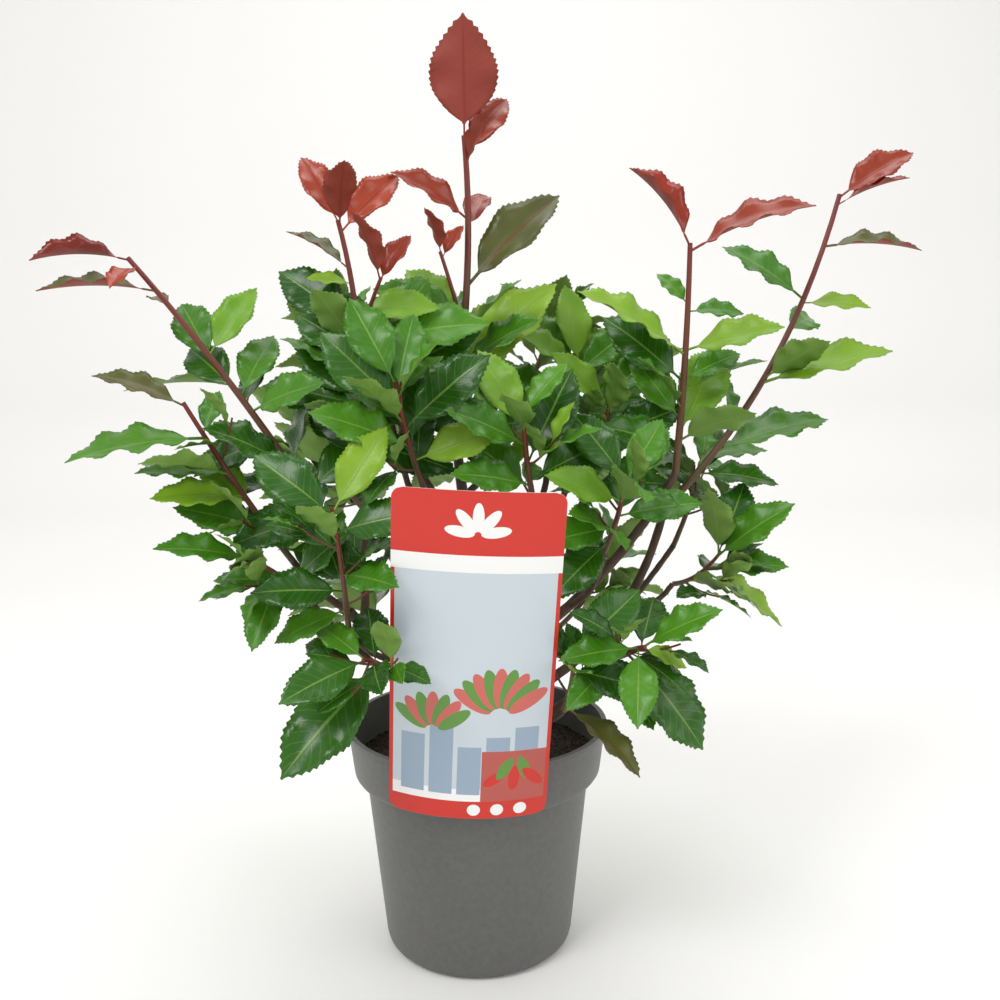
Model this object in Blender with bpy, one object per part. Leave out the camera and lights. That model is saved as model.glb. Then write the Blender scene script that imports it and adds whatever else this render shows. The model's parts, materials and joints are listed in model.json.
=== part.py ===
"""Potted red tip photinia: a young multi-branched shrub in a 3-litre nursery pot.

The origin is the centre of the pot's flat underside, +Z is up, +X is to the viewer's right
and the viewer looks along +Y. Sizes below are in millimetres and are turned to metres when
a mesh is made. Every limb is one tapering branch, and every mass of leaves is one shoot
whose leaves are fused to it.
"""

import math
import random
from dataclasses import dataclass

import bmesh
import bpy
from mathutils import Matrix, Vector
from mathutils.bvhtree import BVHTree

MM = 0.001
UP = Vector((0.0, 0.0, 1.0))
GOLDEN_TURN = 137.5
SEAT_GAP = 0.32

# Pot: a moulded nursery pot, 190 mm across its rim and 165 mm high
POT_SIDES = 40
POT_HEIGHT = 165.0
RIM_RADIUS = 95.0
LIP_DEPTH = 3.0
BAND_TOP_RADIUS = 93.6
BAND_LOW_RADIUS = 90.4
BAND_DEPTH = 38.0
BAND_ROUND = 7.0
SHOULDER_RADIUS = 81.6
FOOT_RADIUS = 69.3
FOOT_ROUND = 8.0
WALL = 2.2
FLOOR = 3.0
NOTCHES = 8
NOTCH_WIDTH = 15.0
NOTCH_HEIGHT = 2.6
NOTCH_DEPTH = 7.0

# Compost: fills the pot to 25 mm under the rim
SOIL_TOP = 140.0
SOIL_GAP = 0.35

# Plant label: a bowed card that leans out over the rim and hooks on it with a tongue
CARD_WIDTH = 103.0
CARD_HEIGHT = 223.0
CARD_THICK = 0.9
CARD_CORNER = 7.0
CARD_FOOT = Vector((-5.0, -94.9, 133.0))
CARD_LEAN = 10.6
CARD_TILT = 3.0
CARD_BOW_FOOT = 11.0
CARD_BOW_TOP = 4.0
CARD_COLUMNS = 8
CARD_ROWS = 5
TONGUE_WIDTH = 22.0
TONGUE_THICK = 1.0
TONGUE_DROP = 14.0
TONGUE_INSIDE = 88.0

# Leaf: an elliptic toothed blade on a short stalk, as a thin closed solid
LEAF_ROOT_WIDE = 1.1
LEAF_ROOT_THICK = 0.9
LEAF_ROOT_SUNK = 2.5
LEAF_STATIONS = (0.39, 0.73)
LEAF_WIDTHS = (0.46, 0.40)
LEAF_THICK_SHARE = 0.0115
LEAF_CLEARANCE = 0.5
LEAF_FREE_SHARE = 0.1
LEAF_TILT_SPREAD = 16.0
VIEWER = Vector((0.0, -1.0, 0.0))


@dataclass(frozen=True)
class Tone:
    """How a leaf of one age is carried: its width to length, fold and arch in degrees."""

    width: float
    fold: float
    arch: float


TONES = {
    "flag": Tone(0.58, 12.0, 8.0),
    "red": Tone(0.42, 22.0, 26.0),
    "folded": Tone(0.4, 46.0, 34.0),
    "bronze": Tone(0.38, 22.0, 24.0),
    "lime": Tone(0.44, 17.0, 14.0),
    "green": Tone(0.45, 14.0, 22.0),
    "dark": Tone(0.47, 11.0, 26.0),
}

# Limbs: carrier, share of the carrier's length where it starts, tip, how far its middle
# stands off the straight line, foot radius, tip radius
LIMBS = {
    "trunk": ("", 0.0, (-14, -6, 384), (4, 3, 0), 6.6, 3.1),
    "bough_left_low": ("trunk", 0.14, (-84, -51, 260), (-3, -4, -6), 4.0, 3.4),
    "bough_left_arm": ("bough_left_low", 1.0, (-118, -63, 297), (-2, 0, -2), 2.7, 2.2),
    "bough_left_rise": ("bough_left_low", 0.9, (-86, -53, 306), (8, -4, 0), 3.0, 2.5),
    "bough_left_spray": ("bough_left_rise", 0.7, (-74, -42, 344), (4, 2, -2), 2.2, 2.0),
    "bough_left_front": ("bough_left_low", 0.62, (-79, -87, 256), (0, -4, -4), 2.4, 2.0),
    "bough_left_shank": ("trunk", 0.1, (-105, -76, 273), (-4, -4, -8), 2.4, 1.9),
    "bough_front_left": ("trunk", 0.07, (-52, -92, 226), (-4, -6, -4), 2.8, 2.2),
    "bough_right_low": ("trunk", 0.25, (143, -2, 345), (8, -8, -10), 4.2, 2.9),
    "bough_right_rise": ("trunk", 0.11, (138, 14, 318), (22, 4, -20), 4.0, 2.9),
    "bough_right_back": ("bough_right_rise", 0.42, (150, 40, 286), (3, 7, -3), 2.4, 2.1),
    "bough_right_side": ("bough_right_rise", 0.62, (142, -4, 266), (2, -5, -4), 2.2, 1.9),
    "bough_front_right": ("trunk", 0.06, (86, -82, 229), (4, -8, -6), 2.8, 2.2),
    "bough_low_right": ("bough_front_right", 0.34, (58, -90, 203), (2, -4, -2), 2.3, 2.0),
    "bough_right_mid": ("bough_right_low", 0.42, (88, -46, 298), (3, -6, -4), 2.6, 2.1),
    "bough_right_inner": ("bough_right_low", 0.3, (72, 8, 312), (3, 6, -4), 2.6, 2.1),
    "bough_mid_right": ("trunk", 0.34, (44, -52, 318), (6, -8, -12), 2.8, 2.2),
    "bough_centre_right": ("trunk", 0.48, (54, 16, 352), (10, 2, -10), 2.8, 2.3),
    "bough_centre_front": ("trunk", 0.5, (-28, -48, 330), (-4, -8, -8), 2.5, 2.1),
    "bough_centre_left": ("trunk", 0.58, (-46, -28, 348), (-4, -2, -8), 2.5, 2.1),
    "bough_back_left": ("trunk", 0.3, (-78, 66, 300), (-6, 6, -12), 3.2, 2.4),
    "bough_back_mid": ("trunk", 0.36, (-12, 92, 318), (0, 10, -14), 3.2, 2.4),
    "bough_back_right": ("trunk", 0.42, (72, 78, 330), (8, 8, -12), 3.2, 2.4),
    "bough_back_high_left": ("trunk", 0.7, (-58, 36, 392), (-6, 4, -8), 2.6, 2.2),
    "bough_back_high_right": ("trunk", 0.78, (36, 48, 404), (5, 5, -8), 2.6, 2.2),
    "bough_back_low_left": ("trunk", 0.08, (-66, 62, 212), (-6, 6, -8), 2.8, 2.2),
    "bough_back_low_right": ("trunk", 0.09, (64, 70, 214), (6, 6, -8), 2.8, 2.2),
}
ROOT_FLARE = 1.75
ROOT_FLARE_HEIGHT = 14.0
TRUNK_SIDES = 8
BOUGH_SIDES = 6
TWIG_SIDES = 3


@dataclass(frozen=True)
class Stance:
    """How one leaf stands on its stem.

    share is its place along the stem; heading, in plan, and lift are in degrees; tilt is
    how far its upper face turns to the viewer.
    """

    share: float
    heading: float
    lift: float
    length: float
    tone: str
    tilt: float = 40.0


@dataclass(frozen=True)
class Mass:
    """One shoot and its leaves.

    limb carries it; tip and bend shape its stem; radius is its foot's; stances are leaves
    set by hand; leaves is how many more the rule sets between the two shares of span, of
    about the given length, starting at a turn; twigs side twigs branch by the rule.
    """

    limb: str
    tip: tuple
    bend: tuple = (0, 0, 4)
    radius: float = 2.5
    stances: tuple = ()
    leaves: int = 6
    span: tuple = (0.15, 1.0)
    length: float = 62.0
    twigs: int = 0
    turn: float = 0.0
    tones: tuple = ("green", "lime")
    lean: tuple = (68.0, 34.0)
    side: tuple = ()


S = Stance
MASSES = {
    "leaves_leader": Mass(
        "trunk", (-4, 0, 578), (6, 3, 5), 3.0,
        stances=(
            S(1.0, 272, 87, 80, "flag", 0),
            S(0.99, 30, 64, 60, "folded", 20),
            S(0.94, 28, 52, 58, "red", 60),
            S(0.9, 318, 46, 48, "red", 30),
            S(0.7, 200, 28, 62, "red", 55),
            S(0.67, 74, 36, 48, "red"),
            S(0.46, 24, 42, 98, "bronze", 50),
            S(0.43, 106, 70, 60, "lime"),
            S(0.3, 140, 40, 72, "lime", 55),
            S(0.36, 204, 20, 66, "green", 60),
            S(0.08, 32, 54, 98, "lime", 55),
            S(0.15, 14, 42, 96, "lime", 50),
            S(0.17, 330, 28, 72, "green", 50),
            S(0.05, 150, 30, 70, "green", 50),
        ),
        leaves=6, span=(0.03, 0.34), length=68, turn=60, tones=("green", "lime"),
        side=((0.3, (-21, -12, 500), 2, 36, "red"),),
    ),
    "leaves_far_left": Mass(
        "bough_left_rise", (-228, -26, 496), (-2, 3, 9), 2.7,
        stances=(
            S(1.0, 205, -2, 62, "folded", 30),
            S(0.99, 146, 66, 32, "red"),
            S(0.97, 262, -24, 40, "red"),
            S(0.87, 212, -1, 74, "bronze", 14),
            S(0.81, 150, 14, 36, "bronze", 20),
            S(0.62, 36, 52, 58, "lime", 55),
            S(0.6, 158, 34, 62, "green", 60),
            S(0.5, 166, 26, 60, "dark", 55),
            S(0.47, 70, 44, 60, "green", 50),
            S(0.42, 334, 18, 64, "green", 60),
            S(0.33, 216, -22, 58, "dark", 40),
            S(0.22, 196, 22, 74, "dark", 60),
            S(0.16, 30, 34, 64, "dark", 60),
            S(0.08, 206, -4, 70, "dark", 55),
        ),
        leaves=7, span=(0.05, 0.55), length=64, turn=20, tones=("dark", "green"),
    ),
    "leaves_left_arm": Mass(
        "bough_left_arm", (-180, -78, 402), (3, -2, -7), 2.3,
        stances=(
            S(1.0, 194, 20, 58, "bronze", 34),
            S(0.84, 204, -8, 84, "green", 22),
            S(0.86, 73, 52, 34, "green"),
            S(0.64, 176, 6, 58, "green", 26),
            S(0.6, 32, 50, 60, "dark", 60),
            S(0.5, 204, 2, 58, "lime", 40),
            S(0.42, 150, 34, 56, "lime", 50),
            S(0.34, 346, 14, 66, "dark", 60),
            S(0.26, 190, 16, 62, "green", 50),
            S(0.12, 350, -12, 62, "dark", 60),
        ),
        leaves=5, span=(0.05, 0.7), length=60, turn=250, tones=("dark", "green"),
    ),
    "leaves_left_shank": Mass(
        "bough_left_shank", (-140, -95, 306), (0, 0, 3), 1.9,
        stances=(
            S(1.0, 205, 12, 60, "green", 34),
            S(0.5, 246, -52, 52, "green"),
            S(0.9, 140, 34, 52, "dark", 30),
            S(0.3, 330, 40, 58, "dark", 60),
        ),
        leaves=2, span=(0.2, 0.9), length=52, turn=40, tones=("dark", "green"),
    ),
    "leaves_left_front": Mass(
        "bough_left_front", (-84, -106, 338), (2, -6, 0), 2.1,
        stances=(
            S(0.5, 330, 6, 54, "green", 50),
            S(1.0, 36, 52, 64, "lime", 55),
            S(0.97, 162, 34, 66, "dark", 58),
            S(0.84, 350, 14, 58, "dark", 55),
            S(0.68, 158, 36, 58, "dark", 50),
            S(0.36, 200, 4, 58, "dark", 55),
            S(0.2, 186, -24, 50, "green", 40),
        ),
        leaves=2, span=(0.2, 0.95), length=54, turn=110, tones=("dark", "green"),
    ),
    "leaves_left_spray": Mass(
        "bough_left_spray", (-86, -36, 518), (6, 2, 8), 2.5,
        stances=(
            S(1.0, 150, 56, 54, "red", 50),
            S(0.98, 284, 38, 56, "red"),
            S(0.96, 28, 42, 60, "red", 60),
            S(0.8, 164, 30, 52, "bronze", 12),
            S(0.74, 190, 6, 30, "lime"),
            S(0.64, 330, -4, 56, "lime", 60),
            S(0.56, 162, 34, 70, "dark", 60),
            S(0.5, 352, 8, 88, "green", 50),
            S(0.44, 150, 30, 62, "dark", 50),
            S(0.36, 340, 24, 74, "dark", 62),
            S(0.27, 196, 12, 70, "dark", 55),
            S(0.14, 332, -12, 66, "dark", 55),
        ),
        leaves=6, span=(0.04, 0.6), length=66, turn=100, tones=("dark", "green"),
        side=((0.5, (-57, -50, 480), 2, 50, "red"),),
    ),
    "leaves_front_left": Mass(
        "bough_front_left", (-66, -118, 246), (0, 0, 4), 2.2,
        stances=(
            S(0.95, 214, -16, 60, "dark", 50),
            S(0.4, 214, -40, 90, "dark", 44),
            S(1.0, 150, 20, 46, "green", 30),
            S(0.6, 110, 30, 50, "dark"),
        ),
        leaves=1, span=(0.3, 1.0), length=52, turn=150, tones=("dark", "green"),
    ),
    "leaves_right_tall": Mass(
        "bough_right_low", (152, 5, 506), (2, 2, 0), 2.8,
        stances=(
            S(1.0, 158, 52, 72, "folded", 24),
            S(1.0, 52, 68, 60, "red", 36),
            S(0.98, 345, 18, 88, "red", 30),
            S(0.72, 15, -2, 44, "green"),
            S(0.53, 196, 28, 92, "lime", 36),
            S(0.75, 142, 42, 34, "green"),
            S(0.55, 332, 12, 70, "lime", 50),
            S(0.42, 16, 22, 48, "green", 50),
            S(0.18, 28, 52, 84, "lime", 58),
            S(0.41, 158, 38, 76, "dark", 60),
            S(0.24, 156, 50, 62, "green", 55),
            S(0.1, 204, 18, 66, "dark", 60),
        ),
        leaves=5, span=(0.04, 0.4), length=62, turn=170, tones=("dark", "green"),
    ),
    "leaves_right_arch": Mass(
        "bough_right_rise", (268, 45, 544), (13, 0, -13), 2.8,
        stances=(
            S(1.0, 8, 30, 66, "red", 46),
            S(0.98, 330, 18, 52, "red", 20),
            S(0.91, 150, 50, 26, "folded"),
            S(0.87, 6, -2, 76, "bronze", 22),
            S(0.66, 30, 54, 88, "lime", 58),
            S(0.72, 160, 34, 72, "green", 36),
            S(0.71, 338, -6, 48, "lime", 36),
            S(0.46, 344, 14, 92, "lime", 34),
            S(0.22, 10, 14, 92, "green", 20),
            S(0.3, 61, 52, 46, "dark"),
            S(0.14, 356, -8, 60, "dark", 30),
        ),
        leaves=4, span=(0.1, 0.7), length=54, turn=90, tones=("green", "lime"),
    ),
    "leaves_right_back": Mass(
        "bough_right_back", (173, 50, 352), (3, 2, 2), 2.1,
        stances=(
            S(1.0, 12, 6, 54, "green", 20),
            S(0.6, 130, 30, 58, "dark"),
        ),
        leaves=5, span=(0.2, 1.0), length=58, turn=230, tones=("dark", "green"),
    ),
    "leaves_right_side": Mass(
        "bough_right_side", (176, -6, 290), (0, -2, -5), 1.9,
        stances=(
            S(1.0, 240, 62, 58, "dark", 30),
            S(0.98, 47, 54, 62, "dark", 50),
            S(0.94, 338, 38, 68, "green", 50),
            S(0.7, 345, 4, 58, "green", 30),
            S(0.66, 10, -36, 76, "lime", 26),
        ),
        leaves=2, span=(0.15, 0.8), length=50, turn=10, tones=("dark", "green"),
    ),
    "leaves_right_mid": Mass(
        "bough_right_mid", (100, -64, 352), (2, -2, 0), 2.2,
        stances=(
            S(0.98, 150, 48, 58, "dark", 60),
            S(0.94, 20, 52, 52, "green", 60),
            S(0.7, 204, 20, 60, "lime", 60),
            S(0.5, 350, 10, 56, "green", 50),
            S(0.34, 202, -8, 56, "green", 50),
            S(0.15, 214, -34, 60, "dark", 50),
        ),
        leaves=4, span=(0.2, 0.95), length=56, turn=310, tones=("dark", "green"),
    ),
    "leaves_right_inner": Mass(
        "bough_right_inner", (98, 12, 402), (4, 2, -2), 2.2,
        stances=(
            S(0.98, 350, 50, 60, "green", 60),
            S(0.9, 196, 44, 60, "lime", 60),
            S(0.66, 342, 24, 66, "dark", 60),
            S(0.5, 198, 16, 60, "dark", 50),
            S(0.3, 346, 0, 60, "dark", 50),
        ),
        leaves=5, span=(0.1, 0.95), length=60, turn=70, tones=("dark", "green"),
    ),
    "leaves_front_right": Mass(
        "bough_front_right", (107, -111, 251), (0, 0, 3), 2.2,
        stances=(
            S(1.0, 338, 30, 56, "green"),
            S(0.9, 176, -6, 52, "green"),
            S(0.88, 262, -46, 54, "green"),
            S(0.98, 14, -28, 34, "lime"),
            S(0.55, 354, -52, 80, "dark", 50),
            S(0.95, 72, 24, 52, "dark"),
            S(0.2, 320, -52, 50, "dark"),
            S(0.3, 196, -26, 50, "green", 50),
        ),
        leaves=1, span=(0.3, 0.9), length=50, turn=60, tones=("dark", "green"),
    ),
    "leaves_low_right": Mass(
        "bough_low_right", (63, -108, 250), (2, -2, 0), 2.1,
        stances=(
            S(0.08, 330, -36, 64, "bronze", 8),
            S(0.45, 200, -4, 48, "green", 50),
            S(0.96, 30, 34, 62, "dark", 60),
            S(0.8, 160, 40, 52, "dark", 60),
            S(0.7, 352, -14, 56, "dark", 55),
        ),
        leaves=1, span=(0.3, 1.0), length=46, turn=330, tones=("dark", "green"),
    ),
    "leaves_mid_right": Mass(
        "bough_mid_right", (34, -76, 400), (-3, -2, 2), 2.3,
        stances=(
            S(0.8, 144, 54, 62, "lime", 55),
            S(0.66, 202, 24, 60, "green", 60),
            S(0.5, 36, 58, 72, "dark", 55),
            S(0.36, 352, 26, 72, "dark", 60),
            S(0.3, 158, 34, 62, "green", 60),
        ),
        leaves=5, span=(0.25, 1.0), length=58, turn=200, tones=("green", "lime"),
    ),
    "leaves_centre_right": Mass(
        "bough_centre_right", (77, 26, 424), (0, 2, 2), 2.3,
        stances=(
            S(1.0, 118, 72, 62, "lime", 20),
            S(0.96, 207, 28, 58, "lime", 60),
            S(0.93, 148, 44, 66, "green", 50),
            S(0.9, 24, 34, 58, "green", 60),
            S(0.76, 24, 44, 60, "lime", 60),
            S(0.6, 165, 20, 66, "green", 50),
            S(0.5, 346, 10, 62, "green", 50),
            S(0.36, 190, 0, 62, "dark", 50),
        ),
        leaves=5, span=(0.1, 0.9), length=62, turn=40, tones=("dark", "green"),
    ),
    "leaves_centre_front": Mass(
        "bough_centre_front", (-46, -84, 414), (-2, -4, 0), 2.2,
        stances=(
            S(1.0, 146, 56, 66, "green", 55),
            S(0.94, 40, 62, 56, "green", 60),
            S(0.8, 170, 44, 72, "dark", 66),
            S(0.66, 350, 40, 72, "dark", 66),
            S(0.52, 196, 20, 68, "green", 60),
            S(0.4, 340, 14, 64, "lime", 60),
        ),
        leaves=4, span=(0.2, 1.0), length=60, turn=280, tones=("dark", "green"),
    ),
    "leaves_centre_left": Mass(
        "bough_centre_left", (-62, -34, 436), (-2, 0, 2), 2.2,
        stances=(
            S(0.98, 40, 50, 66, "green", 62),
            S(0.94, 160, 50, 62, "dark", 60),
            S(0.74, 346, 30, 76, "dark", 66),
            S(0.6, 186, 34, 76, "dark", 66),
            S(0.44, 350, 4, 70, "dark", 60),
        ),
        leaves=4, span=(0.1, 1.0), length=64, turn=330, tones=("dark", "green"),
    ),
    "leaves_back_left": Mass(
        "bough_back_left", (-146, 108, 392), (-3, 3, -6), 2.4,
        leaves=12, length=64, twigs=1, turn=15, tones=("dark", "lime"),
    ),
    "leaves_back_mid": Mass(
        "bough_back_mid", (-26, 158, 424), (0, 5, -4), 2.4,
        leaves=12, length=64, twigs=1, turn=130, tones=("dark", "lime"),
    ),
    "leaves_back_right": Mass(
        "bough_back_right", (132, 128, 420), (4, 4, -6), 2.4,
        leaves=12, length=64, twigs=1, turn=75, tones=("dark", "lime"),
    ),
    "leaves_back_high_left": Mass(
        "bough_back_high_left", (-104, 66, 458), (-3, 2, -4), 2.2,
        leaves=11, length=62, turn=310, tones=("dark", "lime"),
    ),
    "leaves_back_high_right": Mass(
        "bough_back_high_right", (58, 92, 462), (4, 4, -4), 2.2,
        leaves=11, length=62, turn=190, tones=("dark", "lime"),
    ),
    "leaves_back_low_left": Mass(
        "bough_back_low_left", (-124, 102, 270), (-3, 3, -4), 2.2,
        leaves=8, length=60, turn=220, tones=("dark", "green"),
    ),
    "leaves_back_low_right": Mass(
        "bough_back_low_right", (116, 112, 272), (3, 3, -4), 2.2,
        leaves=8, length=60, turn=350, tones=("dark", "green"),
    ),
}
TWIG_TIP_SHARE = 0.62
SIDE_TWIG_RADIUS = 1.7
SIDE_TWIG_LENGTH = 62.0
TRIES = 9
GROWTH_SEED = 19
SIDE_LEAF_HEADING = 244.0
SIDE_LEAF_TURN = 150.0
SIDE_LEAF_LIFT = 52.0
RULE_TWIG_LEAVES = 5


def compass(heading, lift):
    """Unit vector at a heading in plan and a lift above the level, both in degrees."""
    level = math.cos(math.radians(lift))
    return Vector((
        level * math.cos(math.radians(heading)),
        level * math.sin(math.radians(heading)),
        math.sin(math.radians(lift)),
    ))


def new_object(name, vertices, faces, smooth=False):
    """Object made from points in millimetres and faces."""
    mesh = bpy.data.meshes.new(name)
    mesh.from_pydata([tuple(Vector(v) * MM) for v in vertices], [], faces)
    mesh.validate()
    thing = bpy.data.objects.new(name, mesh)
    bpy.context.scene.collection.objects.link(thing)
    outward(thing)
    if smooth:
        mesh.shade_smooth()
        mesh.set_sharp_from_angle(angle=math.radians(40))
    return thing


def outward(thing):
    """Turn every face of a closed mesh outwards."""
    work = bmesh.new()
    work.from_mesh(thing.data)
    bmesh.ops.recalc_face_normals(work, faces=work.faces[:])
    work.to_mesh(thing.data)
    work.free()


def dress(thing, label, colour, roughness):
    """Give an object its own Principled material."""
    material = bpy.data.materials.new(label)
    material.use_nodes = True
    shader = material.node_tree.nodes["Principled BSDF"]
    shader.inputs["Base Color"].default_value = (*colour, 1.0)
    shader.inputs["Roughness"].default_value = roughness
    material.diffuse_color = (*colour, 1.0)
    thing.data.materials.clear()
    thing.data.materials.append(material)


def turned(name, profile, sides):
    """Solid of revolution about Z whose closed profile of (radius, height) starts and ends on it."""
    vertices = [(0.0, 0.0, profile[0][1])]
    faces = []
    rings = profile[1:-1]
    for radius, height in rings:
        for k in range(sides):
            a = math.tau * k / sides
            vertices.append((radius * math.cos(a), radius * math.sin(a), height))
    last = len(vertices)
    vertices.append((0.0, 0.0, profile[-1][1]))
    for k in range(sides):
        n = (k + 1) % sides
        faces.append((0, 1 + n, 1 + k))
        for i in range(len(rings) - 1):
            low, high = 1 + i * sides, 1 + (i + 1) * sides
            faces.append((low + k, low + n, high + n, high + k))
        top = last - sides
        faces.append((top + k, top + n, last))
    return new_object(name, vertices, faces, smooth=True)


def arc(centre, radius, start, end, count):
    """Points of (radius, height) on an arc from one angle to another, in degrees."""
    points = []
    for k in range(count + 1):
        a = math.radians(start + (end - start) * k / count)
        points.append((centre[0] + radius * math.cos(a), centre[1] + radius * math.sin(a)))
    return points


def pot_profile():
    """Closed profile of the pot, up its outside and down its inside."""
    shoulder = POT_HEIGHT - BAND_DEPTH
    outer = [(0.0, 0.0)]
    outer += arc((FOOT_RADIUS - FOOT_ROUND, FOOT_ROUND), FOOT_ROUND, -90, 0, 3)
    outer.append((SHOULDER_RADIUS, shoulder))
    outer += arc((BAND_LOW_RADIUS - BAND_ROUND, shoulder + BAND_ROUND), BAND_ROUND, -90, 0, 4)
    outer.append((BAND_TOP_RADIUS, POT_HEIGHT - LIP_DEPTH - 1.4))
    outer.append((RIM_RADIUS, POT_HEIGHT - LIP_DEPTH))
    outer.append((RIM_RADIUS, POT_HEIGHT))
    inner = [
        (BAND_TOP_RADIUS - WALL, POT_HEIGHT),
        (BAND_LOW_RADIUS - WALL, shoulder + BAND_ROUND),
        (SHOULDER_RADIUS - WALL, shoulder),
        (FOOT_RADIUS - WALL, FOOT_ROUND + FLOOR),
        (FOOT_RADIUS - WALL - FOOT_ROUND, FLOOR),
        (0.0, FLOOR),
    ]
    return outer + inner


def cut(body, cutters):
    """Cut shapes out of a body, apply the cuts and remove the shapes."""
    for cutter in cutters:
        modifier = body.modifiers.new("cut", "BOOLEAN")
        modifier.operation = "DIFFERENCE"
        modifier.solver = "EXACT"
        modifier.object = cutter
    apply_modifiers(body)
    for cutter in cutters:
        bpy.data.objects.remove(cutter)


def apply_modifiers(thing):
    """Replace a mesh by its evaluated one and clear its modifiers."""
    graph = bpy.context.evaluated_depsgraph_get()
    graph.update()
    done = bpy.data.meshes.new_from_object(thing.evaluated_get(graph))
    thing.modifiers.clear()
    thing.data = done


def box(name, centre, size, turn):
    """Box cutter in millimetres, turned about Z by an angle in degrees."""
    spin = Matrix.Rotation(math.radians(turn), 3, "Z")
    vertices = []
    for x in (-0.5, 0.5):
        for y in (-0.5, 0.5):
            for z in (-0.5, 0.5):
                local = Vector((x * size[0], y * size[1], z * size[2]))
                vertices.append(spin @ local + Vector(centre))
    faces = [(0, 1, 3, 2), (4, 6, 7, 5), (0, 4, 5, 1), (2, 3, 7, 6), (0, 2, 6, 4), (1, 5, 7, 3)]
    return new_object(name, vertices, faces)


def make_pot():
    """Turned pot with drainage notches under its foot."""
    pot = turned("pot", pot_profile(), POT_SIDES)
    cutters = []
    middle = FOOT_RADIUS - NOTCH_DEPTH + 20.0
    for k in range(NOTCHES):
        turn = 360.0 * (k + 0.5) / NOTCHES
        place = compass(turn, 0) * middle
        size = (40.0, NOTCH_WIDTH, 2.0 * NOTCH_HEIGHT)
        cutters.append(box("notch", place, size, turn))
    cut(pot, cutters)
    dress(pot, "moulded grey pot", (0.10, 0.10, 0.093), 0.5)
    return pot


def make_soil():
    """Compost that fills the pot, lightly mounded and level round the stem."""
    shoulder = POT_HEIGHT - BAND_DEPTH
    inside = WALL + SOIL_GAP
    profile = [
        (0.0, FLOOR + SOIL_GAP),
        (FOOT_RADIUS - FOOT_ROUND - inside, FLOOR + SOIL_GAP),
        (FOOT_RADIUS - inside, FOOT_ROUND + FLOOR),
        (SHOULDER_RADIUS - inside, shoulder),
        (BAND_LOW_RADIUS - inside, shoulder + BAND_ROUND),
        (BAND_LOW_RADIUS - inside + 0.3, SOIL_TOP - 3.0),
        (70.0, SOIL_TOP + 1.0),
        (34.0, SOIL_TOP),
        (0.0, SOIL_TOP),
    ]
    soil = turned("soil", profile, POT_SIDES)
    dress(soil, "moist peat compost", (0.012, 0.008, 0.006), 0.95)
    return soil


def card_point(across, up, out):
    """Place on the label's bowed card, from its foot's middle, in millimetres."""
    share = up / CARD_HEIGHT
    bow = CARD_BOW_FOOT + (CARD_BOW_TOP - CARD_BOW_FOOT) * share
    back = bow * (2.0 * across / CARD_WIDTH) ** 2
    local = Vector((across, back - out, up))
    turn = Matrix.Rotation(math.radians(CARD_LEAN), 3, "X") @ Matrix.Rotation(math.radians(CARD_TILT), 3, "Y")
    return CARD_FOOT + turn @ local


def card_half_width(up):
    """Half the card's width at a height, narrowed round its corners."""
    near = min(up, CARD_HEIGHT - up)
    if near >= CARD_CORNER:
        return CARD_WIDTH / 2.0
    rise = CARD_CORNER - near
    return CARD_WIDTH / 2.0 - CARD_CORNER + math.sqrt(max(0.0, CARD_CORNER**2 - rise**2))


def sheet_solid(name, rows, columns, point):
    """Closed thin sheet from a grid of front and back points."""
    vertices = []
    faces = []
    count = (rows + 1) * (columns + 1)
    for front in (1, 0):
        for j in range(rows + 1):
            for i in range(columns + 1):
                vertices.append(point(i / columns, j, front))

    def at(side, i, j):
        return side * count + j * (columns + 1) + i

    for j in range(rows):
        for i in range(columns):
            for side in (0, 1):
                faces.append((at(side, i, j), at(side, i + 1, j), at(side, i + 1, j + 1), at(side, i, j + 1)))
    for j in range(rows):
        for i in (0, columns):
            faces.append((at(0, i, j), at(0, i, j + 1), at(1, i, j + 1), at(1, i, j)))
    for i in range(columns):
        for j in (0, rows):
            faces.append((at(0, i, j), at(0, i + 1, j), at(1, i + 1, j), at(1, i, j)))
    return new_object(name, vertices, faces)


def make_label():
    """Bowed label card with the tongue that hooks it over the rim."""
    corner = CARD_CORNER
    heights = [0.0, corner * 0.3, corner]
    heights += [corner + (CARD_HEIGHT - 2 * corner) * k / CARD_ROWS for k in range(1, CARD_ROWS)]
    heights += [CARD_HEIGHT - corner, CARD_HEIGHT - corner * 0.3, CARD_HEIGHT]

    def card(u, j, front):
        up = heights[j]
        return card_point((2 * u - 1) * card_half_width(up), up, CARD_THICK if front else 0.0)

    label = sheet_solid("label", len(heights) - 1, CARD_COLUMNS, card)
    # The tongue leaves the card's back above the rim, lies over the rim and drops inside it
    over = POT_HEIGHT + SEAT_GAP
    inner = -TONGUE_INSIDE
    lean = math.tan(math.radians(CARD_LEAN))
    card_back = CARD_FOOT.y - (over - CARD_FOOT.z) * lean - CARD_THICK * 0.4
    top, low = over + TONGUE_THICK, over - TONGUE_DROP
    outline = [
        (card_back, over), (inner, over), (inner, low),
        (inner + TONGUE_THICK, low), (inner + TONGUE_THICK, top), (card_back, top),
    ]
    centre = CARD_FOOT.x + (over - CARD_FOOT.z) * math.tan(math.radians(CARD_TILT))
    vertices = []
    for side in (-0.5, 0.5):
        for y, z in outline:
            vertices.append((centre + side * TONGUE_WIDTH, y, z))
    n = len(outline)
    faces = [(k, (k + 1) % n, n + (k + 1) % n, n + k) for k in range(n)]
    faces += [(0, 1, 4, 5), (1, 2, 3, 4), (n, n + 5, n + 4, n + 1), (n + 1, n + 4, n + 3, n + 2)]
    tongue = new_object("tongue", vertices, faces)
    fuse(label, [tongue])
    dress(label, "printed card", (0.62, 0.09, 0.05), 0.35)
    return label


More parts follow.
